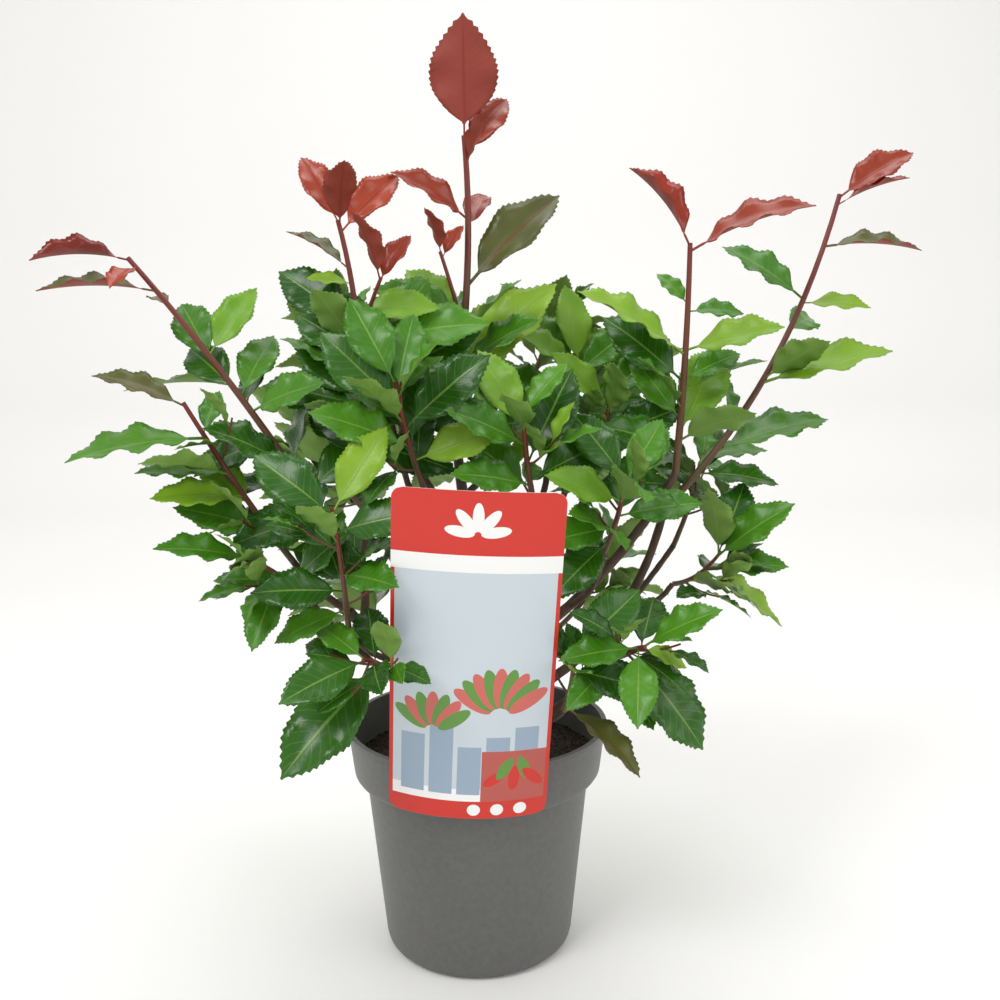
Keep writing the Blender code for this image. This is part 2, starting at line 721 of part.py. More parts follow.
def fuse(body, parts, solver="EXACT"):
    """Join parts to a body with one union on a collection, and remove them."""
    group = bpy.data.collections.new("parts")
    for part in parts:
        group.objects.link(part)
    modifier = body.modifiers.new("join", "BOOLEAN")
    modifier.operation = "UNION"
    modifier.operand_type = "COLLECTION"
    modifier.solver = solver
    modifier.collection = group
    apply_modifiers(body)
    for part in parts:
        bpy.data.objects.remove(part)
    bpy.data.collections.remove(group)


class Path:
    """Smooth bow between two points whose middle stands off the straight line."""

    def __init__(self, start, tip, bend):
        self.start = Vector(start)
        self.tip = Vector(tip)
        self.control = (self.start + self.tip) / 2.0 + 2.0 * Vector(bend)

    def at(self, share):
        rest = 1.0 - share
        return rest * rest * self.start + 2.0 * share * rest * self.control + share * share * self.tip

    def along(self, share):
        rest = 1.0 - share
        slope = rest * (self.control - self.start) + share * (self.tip - self.control)
        return slope.normalized()

    def length(self):
        points = [self.at(k / 16) for k in range(17)]
        return sum((b - a).length for a, b in zip(points, points[1:]))


def across_frame(direction):
    """Two unit vectors square to a direction."""
    helper = UP if abs(direction.z) < 0.9 else Vector((0.0, -1.0, 0.0))
    first = direction.cross(helper).normalized()
    return first, direction.cross(first).normalized()


class Limb:
    """One tapering branch: its path, radii and faceted skin.

    A limb starts inside its carrier and is cut clear of it afterwards, or, where plane is
    given as a point and a direction, it butts on that plane.
    """

    def __init__(self, path, foot_radius, tip_radius, sides, spans, plane=None, flare=1.0, swell=0.0):
        self.path = path
        self.foot_radius = foot_radius
        self.tip_radius = tip_radius
        self.build = (path, foot_radius, tip_radius, sides, spans, plane, flare)
        shares = [k / spans for k in range(spans + 1)]
        if flare > 1.0:
            shares.insert(1, ROOT_FLARE_HEIGHT / path.length())
        self.vertices = []
        heading = path.along(0.0)
        first, _ = across_frame(heading)
        for share in shares:
            along = path.along(share)
            first = (heading.rotation_difference(along) @ first).normalized()
            second = along.cross(first).normalized()
            heading = along
            radius = self.radius(share) + swell
            if share == 0.0:
                radius *= flare
            for k in range(sides):
                a = math.tau * (k + 0.5) / sides
                point = path.at(share) + radius * (math.cos(a) * first + math.sin(a) * second)
                if share == 0.0 and plane is not None:
                    centre, square = plane
                    point += ((centre - point).dot(square) / along.dot(square)) * along
                elif share == 0.0 and flare > 1.0:
                    point.z = path.start.z
                self.vertices.append(point)
        self.faces = []
        for i in range(len(shares) - 1):
            for k in range(sides):
                n = (k + 1) % sides
                low, high = i * sides, (i + 1) * sides
                self.faces.append((low + k, low + n, high + n))
                self.faces.append((low + k, high + n, high + k))
        base = len(self.vertices)
        end = base + 1
        self.vertices += [sum(self.vertices[:sides], Vector()) / sides, path.at(1.0)]
        top = base - sides
        for k in range(sides):
            n = (k + 1) % sides
            self.faces.append((base, n, k))
            self.faces.append((end, top + k, top + n))
        self.renew()

    def renew(self):
        self.tree = BVHTree.FromPolygons(self.vertices, self.faces)

    def radius(self, share):
        return self.foot_radius + (self.tip_radius - self.foot_radius) * share

    def cutter(self):
        """The limb's own shape, thicker by the seat gap all round."""
        path, foot, end, sides, spans, plane, flare = self.build
        swell = SEAT_GAP / math.cos(math.pi / sides)
        wide = Limb(path, foot, end, sides, spans, plane, flare, swell)
        return new_object("cutter", wide.vertices, wide.faces)

    def make(self, name, carrier=None):
        """Object of the limb, cut clear of the carrier it grows out of."""
        wood = new_object(name, self.vertices, self.faces)
        if carrier is not None:
            cut(wood, [carrier.cutter()])
            tidy(wood)
            self.vertices = [v.co / MM for v in wood.data.vertices]
            self.faces = [tuple(face.vertices) for face in wood.data.polygons]
            self.renew()
        wood.data.shade_smooth()
        wood.data.set_sharp_from_angle(angle=math.radians(40))
        dress(wood, name.replace("_", " ") + " bark", (0.09, 0.045, 0.03), 0.75)
        return wood


def tip_plane(carrier):
    """Plane that butts on a limb's tip, clear of it by the seat gap."""
    end = carrier.path.along(1.0)
    return carrier.path.at(1.0) + SEAT_GAP * end, end


class Leaf:
    """One leaf as a thin solid: root in its twig, folded blade, drooping tip."""

    def __init__(self, root, heading, lift, length, tone, roll=0.0):
        shape = TONES[tone]
        self.tone = tone
        rise = lift + shape.arch / 2.0
        centre = Vector(root)
        width = shape.width * length
        fold = math.radians(shape.fold)
        shares = (0.0, *LEAF_STATIONS, 1.0)
        mids = []
        frames = []
        for i, share in enumerate(shares):
            turn = rise - shape.arch * share
            along = compass(heading, turn)
            side = Vector((-math.sin(math.radians(heading)), math.cos(math.radians(heading)), 0.0))
            face = along.cross(side)
            spin = Matrix.Rotation(math.radians(roll), 3, along)
            mids.append(centre.copy())
            frames.append((spin @ side, spin @ face))
            if i < len(shares) - 1:
                middle = rise - shape.arch * (share + shares[i + 1]) / 2.0
                centre += compass(heading, middle) * length * (shares[i + 1] - share)
        self.tip = mids[-1]
        thick = LEAF_THICK_SHARE * length / 2.0
        half = [width * w for w in LEAF_WIDTHS]
        self.vertices = []
        side, face = frames[0]
        root_side, root_face = LEAF_ROOT_WIDE / 2.0, LEAF_ROOT_THICK / 2.0
        for a, b in ((-1, 0), (0, 1), (1, 0), (0, -1)):
            self.vertices.append(mids[0] + a * root_side * side + b * root_face * face)
        for i, reach in enumerate(half):
            side, face = frames[i + 1]
            mid = mids[i + 1]
            edge = reach * math.cos(fold) * side
            raised = reach * math.sin(fold) * face
            self.vertices += [mid - edge + raised, mid + thick * face]
            self.vertices += [mid + edge + raised, mid - thick * face]
        self.vertices.append(self.tip)
        self.faces = [(0, 1, 2), (0, 2, 3)]
        # Each quad is split from its edge to the midrib, so that both skins bend alike
        for i in range(len(half)):
            low, high = 4 * i, 4 * (i + 1)
            for edge, mid in ((0, 1), (2, 1), (0, 3), (2, 3)):
                self.faces.append((low + edge, high + edge, high + mid))
                self.faces.append((low + edge, high + mid, low + mid))
        last = 4 * len(half)
        end = last + 4
        for k in range(4):
            self.faces.append((last + k, end, last + (k + 1) % 4))
        self.whole = self.swollen(frames, 0.0)
        self.guard = self.swollen(frames, LEAF_FREE_SHARE / LEAF_STATIONS[0])

    def swollen(self, frames, free):
        """Slightly thicker shape past a free part of the stalk, used to keep leaves apart."""
        points = [v.copy() for v in self.vertices]
        for k in range(4):
            points[k] = points[k].lerp(points[4 + k], free)
        for row, (side, face) in enumerate(frames[:-1]):
            low = 4 * row
            points[low] -= LEAF_CLEARANCE * side
            points[low + 1] += LEAF_CLEARANCE * face
            points[low + 2] += LEAF_CLEARANCE * side
            points[low + 3] -= LEAF_CLEARANCE * face
        return points

    def tree(self, points):
        return BVHTree.FromPolygons(points, self.faces)


class Crown:
    """Everything that already stands, so that nothing new touches it."""

    def __init__(self):
        self.items = []

    @staticmethod
    def bounds(vertices):
        low = [min(v[k] for v in vertices) for k in range(3)]
        high = [max(v[k] for v in vertices) for k in range(3)]
        return low, high

    def add(self, owner, tree, vertices):
        self.items.append((owner, tree, *self.bounds(vertices)))

    def refuses(self, owner, leaf):
        """Whether a leaf meets another mass, or its own one beyond its stalk's foot."""
        low, high = self.bounds(leaf.whole)
        whole, free = leaf.tree(leaf.whole), leaf.tree(leaf.guard)
        for other, tree, floor, ceiling in self.items:
            if any(high[k] < floor[k] or low[k] > ceiling[k] for k in range(3)):
                continue
            if (free if other == owner else whole).overlap(tree):
                return True
        return False


def leaf_stances(rng, path, mass, count, span, length, turn):
    """Alternate leaves up a stem, each a golden turn on from the last, as stances."""
    stances = []
    for k in range(count):
        share = span[0] + (span[1] - span[0]) * (k + 0.5) / count
        along = path.along(share)
        first, second = across_frame(along)
        a = math.radians(turn + GOLDEN_TURN * k)
        out = math.cos(a) * first + math.sin(a) * second
        lean = math.radians(mass.lean[0] + (mass.lean[1] - mass.lean[0]) * share + rng.uniform(-8, 8))
        way = (math.cos(lean) * along + math.sin(lean) * out).normalized()
        heading = math.degrees(math.atan2(way.y, way.x))
        lift = max(-28.0, math.degrees(math.asin(way.z)) - 6.0)
        size = length * rng.uniform(0.86, 1.12) * (1.0 - 0.22 * max(0.0, share - 0.7) / 0.3)
        tone = mass.tones[1] if share > 0.72 else mass.tones[0]
        if rng.random() < 0.25:
            tone = "green"
        stances.append(Stance(share, heading, lift, size, tone))
    return stances


def grow_leaf(crown, owner, rng, path, stance, steady):
    """Leaf at a stance, turned a little aside where its place is taken, or None.

    Its upper face is tilted to the viewer where it was set by hand, and otherwise out of
    the crown.
    """
    swing = 7.0 if steady else 24.0
    root = path.at(stance.share * (1.0 - LEAF_ROOT_SUNK / path.length()))
    outward_way = VIEWER if steady else Vector((root.x, root.y, 0.0)).normalized()
    for attempt in range(TRIES):
        aside = swing * ((attempt + 1) // 2) * (1 if attempt % 2 else -1)
        up = 0.0 if attempt < 3 else rng.uniform(-swing, swing)
        heading = stance.heading + aside
        a = math.radians(heading)
        tilt = stance.tilt
        if not steady:
            tilt += rng.uniform(-LEAF_TILT_SPREAD, LEAF_TILT_SPREAD)
        roll = tilt * (math.sin(a) * outward_way.x - math.cos(a) * outward_way.y)
        lift = min(stance.lift + up, 88.0)
        leaf = Leaf(root, heading, lift, stance.length, stance.tone, roll)
        if not crown.refuses(owner, leaf):
            crown.add(owner, leaf.tree(leaf.vertices), leaf.vertices)
            return leaf
    return None


class Shoot:
    """Stems of one mass and, once grown, its leaves."""

    def __init__(self, name, mass, carrier, rng):
        self.name = name
        self.mass = mass
        start = carrier.path.at(1.0)
        path = Path(start, mass.tip, mass.bend)
        tip_radius = mass.radius * TWIG_TIP_SHARE
        stem = Limb(path, mass.radius, tip_radius, TWIG_SIDES, 4, tip_plane(carrier))
        self.stems = [stem]
        self.plans = [(path, stance, True) for stance in mass.stances]
        rule = leaf_stances(rng, path, mass, mass.leaves, mass.span, mass.length, mass.turn)
        self.plans += [(path, stance, False) for stance in rule]
        for share, tip, count, length, tone in mass.side:
            twig = Path(path.at(share), tip, (0, 0, 2))
            self.stems.append(Limb(twig, SIDE_TWIG_RADIUS, SIDE_TWIG_RADIUS * 0.7, TWIG_SIDES, 3))
            for k in range(count):
                heading = SIDE_LEAF_HEADING + SIDE_LEAF_TURN * k
                stance = Stance(1.0 - 0.05 * k, heading, SIDE_LEAF_LIFT, length * (1.0 - 0.2 * k), tone)
                self.plans.append((twig, stance, True))
        for k in range(mass.twigs):
            share = 0.3 + 0.3 * k
            along = path.along(share)
            first, second = across_frame(along)
            a = math.radians(mass.turn + 60.0 + 180.0 * k)
            way = (along + 0.9 * (math.cos(a) * first + math.sin(a) * second)).normalized()
            end = path.at(share) + SIDE_TWIG_LENGTH * way
            twig = Path(path.at(share), end, (0, 0, -4))
            self.stems.append(Limb(twig, SIDE_TWIG_RADIUS, SIDE_TWIG_RADIUS * 0.7, TWIG_SIDES, 3))
            size = mass.length * 0.92
            rule = leaf_stances(rng, twig, mass, RULE_TWIG_LEAVES, (0.3, 1.0), size, mass.turn + 30.0)
            self.plans += [(twig, stance, False) for stance in rule]
        self.leaves = []

    def grow(self, crown, rng, steady):
        """Grow the leaves set by hand, or those set by the rule."""
        for path, stance, by_hand in self.plans:
            if by_hand is steady:
                leaf = grow_leaf(crown, self.name, rng, path, stance, steady)
                if leaf is not None:
                    self.leaves.append(leaf)

    def build(self):
        """Fuse stem, twigs and leaves into one solid."""
        stem, *twigs = self.stems
        body = new_object(self.name, stem.vertices, stem.faces)
        parts = [new_object("twig", t.vertices, t.faces) for t in twigs]
        parts += [new_object("leaf", leaf.vertices, leaf.faces) for leaf in self.leaves]
        fuse(body, parts)
        tidy(body)
        red = sum(leaf.tone in ("flag", "red", "folded") for leaf in self.leaves) / len(self.leaves)
        green = (0.05, 0.16, 0.02)
        blush = (0.30, 0.05, 0.02)
        colour = tuple(g + (r - g) * red for g, r in zip(green, blush))
        dress(body, self.name.replace("_", " "), colour, 0.4)
        return body


def tidy(thing):
    """Triangulate, drop slivers and keep the one largest closed body."""
    work = bmesh.new()
    work.from_mesh(thing.data)
    bmesh.ops.triangulate(work, faces=work.faces[:])
    bmesh.ops.dissolve_degenerate(work, edges=work.edges[:], dist=2e-6)
    bmesh.ops.triangulate(work, faces=work.faces[:])
    left = set(work.verts)
    groups = []
    while left:
        start = left.pop()
        group = {start}
        stack = [start]
        while stack:
            for edge in stack.pop().link_edges:
                for vertex in edge.verts:
                    if vertex in left:
                        left.discard(vertex)
                        group.add(vertex)
                        stack.append(vertex)
        groups.append(group)
    largest = max(groups, key=len)
    scraps = [v for g in groups if g is not largest for v in g]
    bmesh.ops.delete(work, geom=scraps, context="VERTS")
    work.to_mesh(thing.data)
    work.free()


def make_limbs():
    """Trunk and boughs, each cut clear of its carrier or butted on its tip."""
    limbs = {}
    for name, (carrier, share, tip, bend, foot, end) in LIMBS.items():
        if not carrier:
            start = Vector((0.0, 0.0, SOIL_TOP + SEAT_GAP))
            limb = Limb(Path(start, tip, bend), foot, end, TRUNK_SIDES, 6, flare=ROOT_FLARE)
            limb.make(name)
        elif share < 1.0:
            parent = limbs[carrier]
            limb = Limb(Path(parent.path.at(share), tip, bend), foot, end, BOUGH_SIDES, 4)
            limb.make(name, parent)
        else:
            parent = limbs[carrier]
            path = Path(parent.path.at(share), tip, bend)
            limb = Limb(path, foot, end, BOUGH_SIDES, 4, tip_plane(parent))
            limb.make(name)
        limbs[name] = limb
    return limbs


def main():
    for old in list(bpy.data.objects):
        bpy.data.objects.remove(old)
    crown = Crown()
    pot, soil, label = make_pot(), make_soil(), make_label()
    for thing in (pot, soil, label):
        vertices = [v.co / MM for v in thing.data.vertices]
        faces = [tuple(face.vertices) for face in thing.data.polygons]
        crown.add(thing.name, BVHTree.FromPolygons(vertices, faces), vertices)
    limbs = make_limbs()
    for name, limb in limbs.items():
        crown.add(name, limb.tree, limb.vertices)
    rng = random.Random(GROWTH_SEED)
    shoots = [Shoot(name, mass, limbs[mass.limb], rng) for name, mass in MASSES.items()]
    for shoot in shoots:
        for stem in shoot.stems:
            crown.add(shoot.name, stem.tree, stem.vertices)
    for steady in (True, False):
        for shoot in shoots:
            shoot.grow(crown, rng, steady)
    for shoot in shoots:
        shoot.build()


main()
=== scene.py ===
"""Looks of a potted red tip photinia: leaves, bark, peat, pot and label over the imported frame.

The plant grows by the same rule as its solids. Sizes are in millimetres and are turned to
metres when a mesh is made; the origin is the centre of the pot's flat underside.
"""

import json
import logging
import math
import random
from collections.abc import Sequence
from dataclasses import dataclass, field
from enum import Enum
from typing import Any

import bmesh
import bpy
import numpy as np
from mathutils import Matrix, Vector, noise
from mathutils.bvhtree import BVHTree

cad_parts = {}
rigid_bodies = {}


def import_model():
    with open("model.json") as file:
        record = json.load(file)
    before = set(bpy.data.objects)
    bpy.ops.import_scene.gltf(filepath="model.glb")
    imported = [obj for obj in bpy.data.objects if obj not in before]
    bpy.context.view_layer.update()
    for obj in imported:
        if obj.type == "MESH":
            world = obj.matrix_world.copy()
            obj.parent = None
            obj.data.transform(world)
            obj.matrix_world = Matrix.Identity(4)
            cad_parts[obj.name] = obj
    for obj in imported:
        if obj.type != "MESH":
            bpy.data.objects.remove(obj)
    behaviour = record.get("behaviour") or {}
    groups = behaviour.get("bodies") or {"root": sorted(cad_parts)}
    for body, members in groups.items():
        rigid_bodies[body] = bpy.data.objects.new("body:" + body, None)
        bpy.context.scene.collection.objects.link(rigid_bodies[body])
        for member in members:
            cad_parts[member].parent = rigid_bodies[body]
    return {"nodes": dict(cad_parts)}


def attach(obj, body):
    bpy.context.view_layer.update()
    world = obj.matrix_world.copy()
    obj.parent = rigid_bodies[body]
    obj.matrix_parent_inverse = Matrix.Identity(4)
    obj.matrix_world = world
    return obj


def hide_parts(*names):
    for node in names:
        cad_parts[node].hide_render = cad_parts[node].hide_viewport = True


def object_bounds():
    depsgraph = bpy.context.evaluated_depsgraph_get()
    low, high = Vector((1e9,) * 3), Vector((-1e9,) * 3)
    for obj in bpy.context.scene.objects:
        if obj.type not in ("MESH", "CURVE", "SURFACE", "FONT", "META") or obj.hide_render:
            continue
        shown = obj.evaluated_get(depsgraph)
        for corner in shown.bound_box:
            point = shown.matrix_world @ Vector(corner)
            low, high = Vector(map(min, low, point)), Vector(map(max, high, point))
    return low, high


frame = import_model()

LOG = logging.getLogger("photinia")
FIRST_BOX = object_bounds()

MM = 0.001
UP = Vector((0.0, 0.0, 1.0))
VIEWER = Vector((0.0, -1.0, 0.0))
Triple = tuple[float, float, float]
Thing = bpy.types.Object
Socket = bpy.types.NodeSocket
Node = bpy.types.Node
Tree = bpy.types.NodeTree
Material = bpy.types.Material

# Clear gap where one solid stands on another, and the compost's height, 25 mm under the rim
SEAT_GAP = 0.32
SOIL_TOP = 140.0

# Plain leaf solid: a root in its twig, two stations and a tip. LEAF_WIDTHS is how far its edge
# stands off the midrib at each station, as a share of the leaf's width
LEAF_ROOT_WIDE = 1.1
LEAF_ROOT_THICK = 0.9
LEAF_ROOT_SUNK = 2.5
LEAF_STATIONS = (0.39, 0.73)
LEAF_WIDTHS = (0.46, 0.40)
LEAF_THICK_SHARE = 0.0115
LEAF_CLEARANCE = 0.5
LEAF_FREE_SHARE = 0.1

# How the rule sets leaves: angles in degrees; sizes shrink by TIP_LOSS over the last TIP_REACH of
# a stem; past YOUNG_FROM they are young; a leaf whose place is taken is tried aside of it
GOLDEN_TURN = 137.5
LEAN_SPREAD = 8
SIZE_SPREAD = (0.86, 1.12)
TIP_LOSS = 0.22
TIP_FROM = 0.7
TIP_REACH = 0.3
YOUNG_FROM = 0.72
LEAF_TILT_SPREAD = 16.0
LEAST_RULE_LIFT = -28.0
RULE_DROOP = 6.0
STEEPEST_LIFT = 88.0
STEADY_SWING = 7.0
FREE_SWING = 24.0
TRIES = 9
GREEN_CHANCE = 0.25

# Limbs: facets round them and ring gaps along them, and the flare of the trunk's root
TRUNK_SIDES = 8
BOUGH_SIDES = 6
TWIG_SIDES = 3
TRUNK_SPANS = 6
STEM_SPANS = 4
TWIG_SPANS = 3
ROOT_FLARE = 1.75
ROOT_FLARE_HEIGHT = 14.0

# Stems of a mass: a stem's tip radius to its foot's; its side twigs, how far they lean out, and
# how long their leaves are to its own; and the leaves at the tip of twigs that are listed
TWIG_TIP_SHARE = 0.62
SIDE_TWIG_RADIUS = 1.7
SIDE_TWIG_LENGTH = 62.0
SIDE_TWIG_TAPER = 0.7
SIDE_TWIG_LEAVES = 5
SIDE_TWIG_SPREAD = 0.9
SIDE_TWIG_SCALE = 0.92
SIDE_LEAF_HEADING = 244.0
SIDE_LEAF_TURN = 150.0
SIDE_LEAF_LIFT = 52.0

# Finer twigs that only the looks have, and the masses that go without them
FINE_TWIGS = 3
FINE_LENGTH = 30.0
FINE_RADIUS = 0.9
FINE_LEAVES = 3
FINE_SPREAD = 1.1
FINE_SCALE = 0.68
SPARSE = (
    "leaves_leader", "leaves_far_left", "leaves_right_tall", "leaves_right_arch", "leaves_left_spray",
)


class Tone(Enum):
    """Age and colour of a leaf."""

    FLAG = "flag"
    RED = "red"
    FOLDED = "folded"
    BRONZE = "bronze"
    LIME = "lime"
    GREEN = "green"
    DARK = "dark"


FLAG, RED, FOLDED, BRONZE, LIME, GREEN, DARK = Tone


@dataclass(frozen=True)
class ToneShape:
    """How a leaf of one age is carried: its width to length, fold and arch in degrees."""

    width: float
    fold: float
    arch: float


TONES = {
    FLAG: ToneShape(0.58, 12.0, 8.0),
    RED: ToneShape(0.42, 22.0, 26.0),
    FOLDED: ToneShape(0.4, 46.0, 34.0),
    BRONZE: ToneShape(0.38, 22.0, 24.0),
    LIME: ToneShape(0.44, 17.0, 14.0),
    GREEN: ToneShape(0.45, 14.0, 22.0),
    DARK: ToneShape(0.47, 11.0, 26.0),
}


@dataclass(frozen=True)
class LimbPlan:
    """One limb: its carrier, the share of the carrier's length where it starts, and its form.

    bend is how far its middle stands off the straight line to its tip; foot and end are its
    radii there.
    """

    carrier: str
    share: float
    tip: Triple
    bend: Triple
    foot: float
    end: float


LIMBS = {
    "trunk": LimbPlan("", 0.0, (-14, -6, 384), (4, 3, 0), 6.6, 3.1),
    "bough_left_low": LimbPlan("trunk", 0.14, (-84, -51, 260), (-3, -4, -6), 4.0, 3.4),
    "bough_left_arm": LimbPlan("bough_left_low", 1.0, (-118, -63, 297), (-2, 0, -2), 2.7, 2.2),
    "bough_left_rise": LimbPlan("bough_left_low", 0.9, (-86, -53, 306), (8, -4, 0), 3.0, 2.5),
    "bough_left_spray": LimbPlan("bough_left_rise", 0.7, (-74, -42, 344), (4, 2, -2), 2.2, 2.0),
    "bough_left_front": LimbPlan("bough_left_low", 0.62, (-79, -87, 256), (0, -4, -4), 2.4, 2.0),
    "bough_left_shank": LimbPlan("trunk", 0.1, (-105, -76, 273), (-4, -4, -8), 2.4, 1.9),
    "bough_front_left": LimbPlan("trunk", 0.07, (-52, -92, 226), (-4, -6, -4), 2.8, 2.2),
    "bough_right_low": LimbPlan("trunk", 0.25, (143, -2, 345), (8, -8, -10), 4.2, 2.9),
    "bough_right_rise": LimbPlan("trunk", 0.11, (138, 14, 318), (22, 4, -20), 4.0, 2.9),
    "bough_right_back": LimbPlan("bough_right_rise", 0.42, (150, 40, 286), (3, 7, -3), 2.4, 2.1),
    "bough_right_side": LimbPlan("bough_right_rise", 0.62, (142, -4, 266), (2, -5, -4), 2.2, 1.9),
    "bough_front_right": LimbPlan("trunk", 0.06, (86, -82, 229), (4, -8, -6), 2.8, 2.2),
    "bough_low_right": LimbPlan("bough_front_right", 0.34, (58, -90, 203), (2, -4, -2), 2.3, 2.0),
    "bough_right_mid": LimbPlan("bough_right_low", 0.42, (88, -46, 298), (3, -6, -4), 2.6, 2.1),
    "bough_right_inner": LimbPlan("bough_right_low", 0.3, (72, 8, 312), (3, 6, -4), 2.6, 2.1),
    "bough_mid_right": LimbPlan("trunk", 0.34, (44, -52, 318), (6, -8, -12), 2.8, 2.2),
    "bough_centre_right": LimbPlan("trunk", 0.48, (54, 16, 352), (10, 2, -10), 2.8, 2.3),
    "bough_centre_front": LimbPlan("trunk", 0.5, (-28, -48, 330), (-4, -8, -8), 2.5, 2.1),
    "bough_centre_left": LimbPlan("trunk", 0.58, (-46, -28, 348), (-4, -2, -8), 2.5, 2.1),
    "bough_back_left": LimbPlan("trunk", 0.3, (-78, 66, 300), (-6, 6, -12), 3.2, 2.4),
    "bough_back_mid": LimbPlan("trunk", 0.36, (-12, 92, 318), (0, 10, -14), 3.2, 2.4),
    "bough_back_right": LimbPlan("trunk", 0.42, (72, 78, 330), (8, 8, -12), 3.2, 2.4),
    "bough_back_high_left": LimbPlan("trunk", 0.7, (-58, 36, 392), (-6, 4, -8), 2.6, 2.2),
    "bough_back_high_right": LimbPlan("trunk", 0.78, (36, 48, 404), (5, 5, -8), 2.6, 2.2),
    "bough_back_low_left": LimbPlan("trunk", 0.08, (-66, 62, 212), (-6, 6, -8), 2.8, 2.2),
    "bough_back_low_right": LimbPlan("trunk", 0.09, (64, 70, 214), (6, 6, -8), 2.8, 2.2),
}


@dataclass(frozen=True)
class Stance:
    """How one leaf stands on its stem.

    share is its place along the stem; heading, in plan, and lift are in degrees; length is
    in millimetres; tilt is how far its upper face turns to the viewer, in degrees.
    """

    share: float
    heading: float
    lift: float
    length: float
    tone: Tone
    tilt: float = 40.0


@dataclass(frozen=True)
class Mass:
    """One shoot and its leaves.

    limb carries it; tip and bend shape its stem; radius is its foot's; stances are leaves
    listed one by one; leaves is how many more the rule sets between the two shares of span, of
    about the given length, starting at a turn; twigs side twigs branch by the rule; tones
    are those of its older and younger leaves; lean is their angle off the stem at its foot
    and at its tip; side has twigs listed one by one, each by its share of the stem, its tip, and
    the number, length and tone of its leaves.
    """

    limb: str
    tip: Triple
    bend: Triple = (0, 0, 4)
    radius: float = 2.5
    stances: tuple[Stance, ...] = ()
    leaves: int = 6
    span: tuple[float, float] = (0.15, 1.0)
    length: float = 62.0
    twigs: int = 0
    turn: float = 0.0
    tones: tuple[Tone, Tone] = (GREEN, LIME)
    lean: tuple[float, float] = (68.0, 34.0)
    side: tuple[tuple, ...] = ()


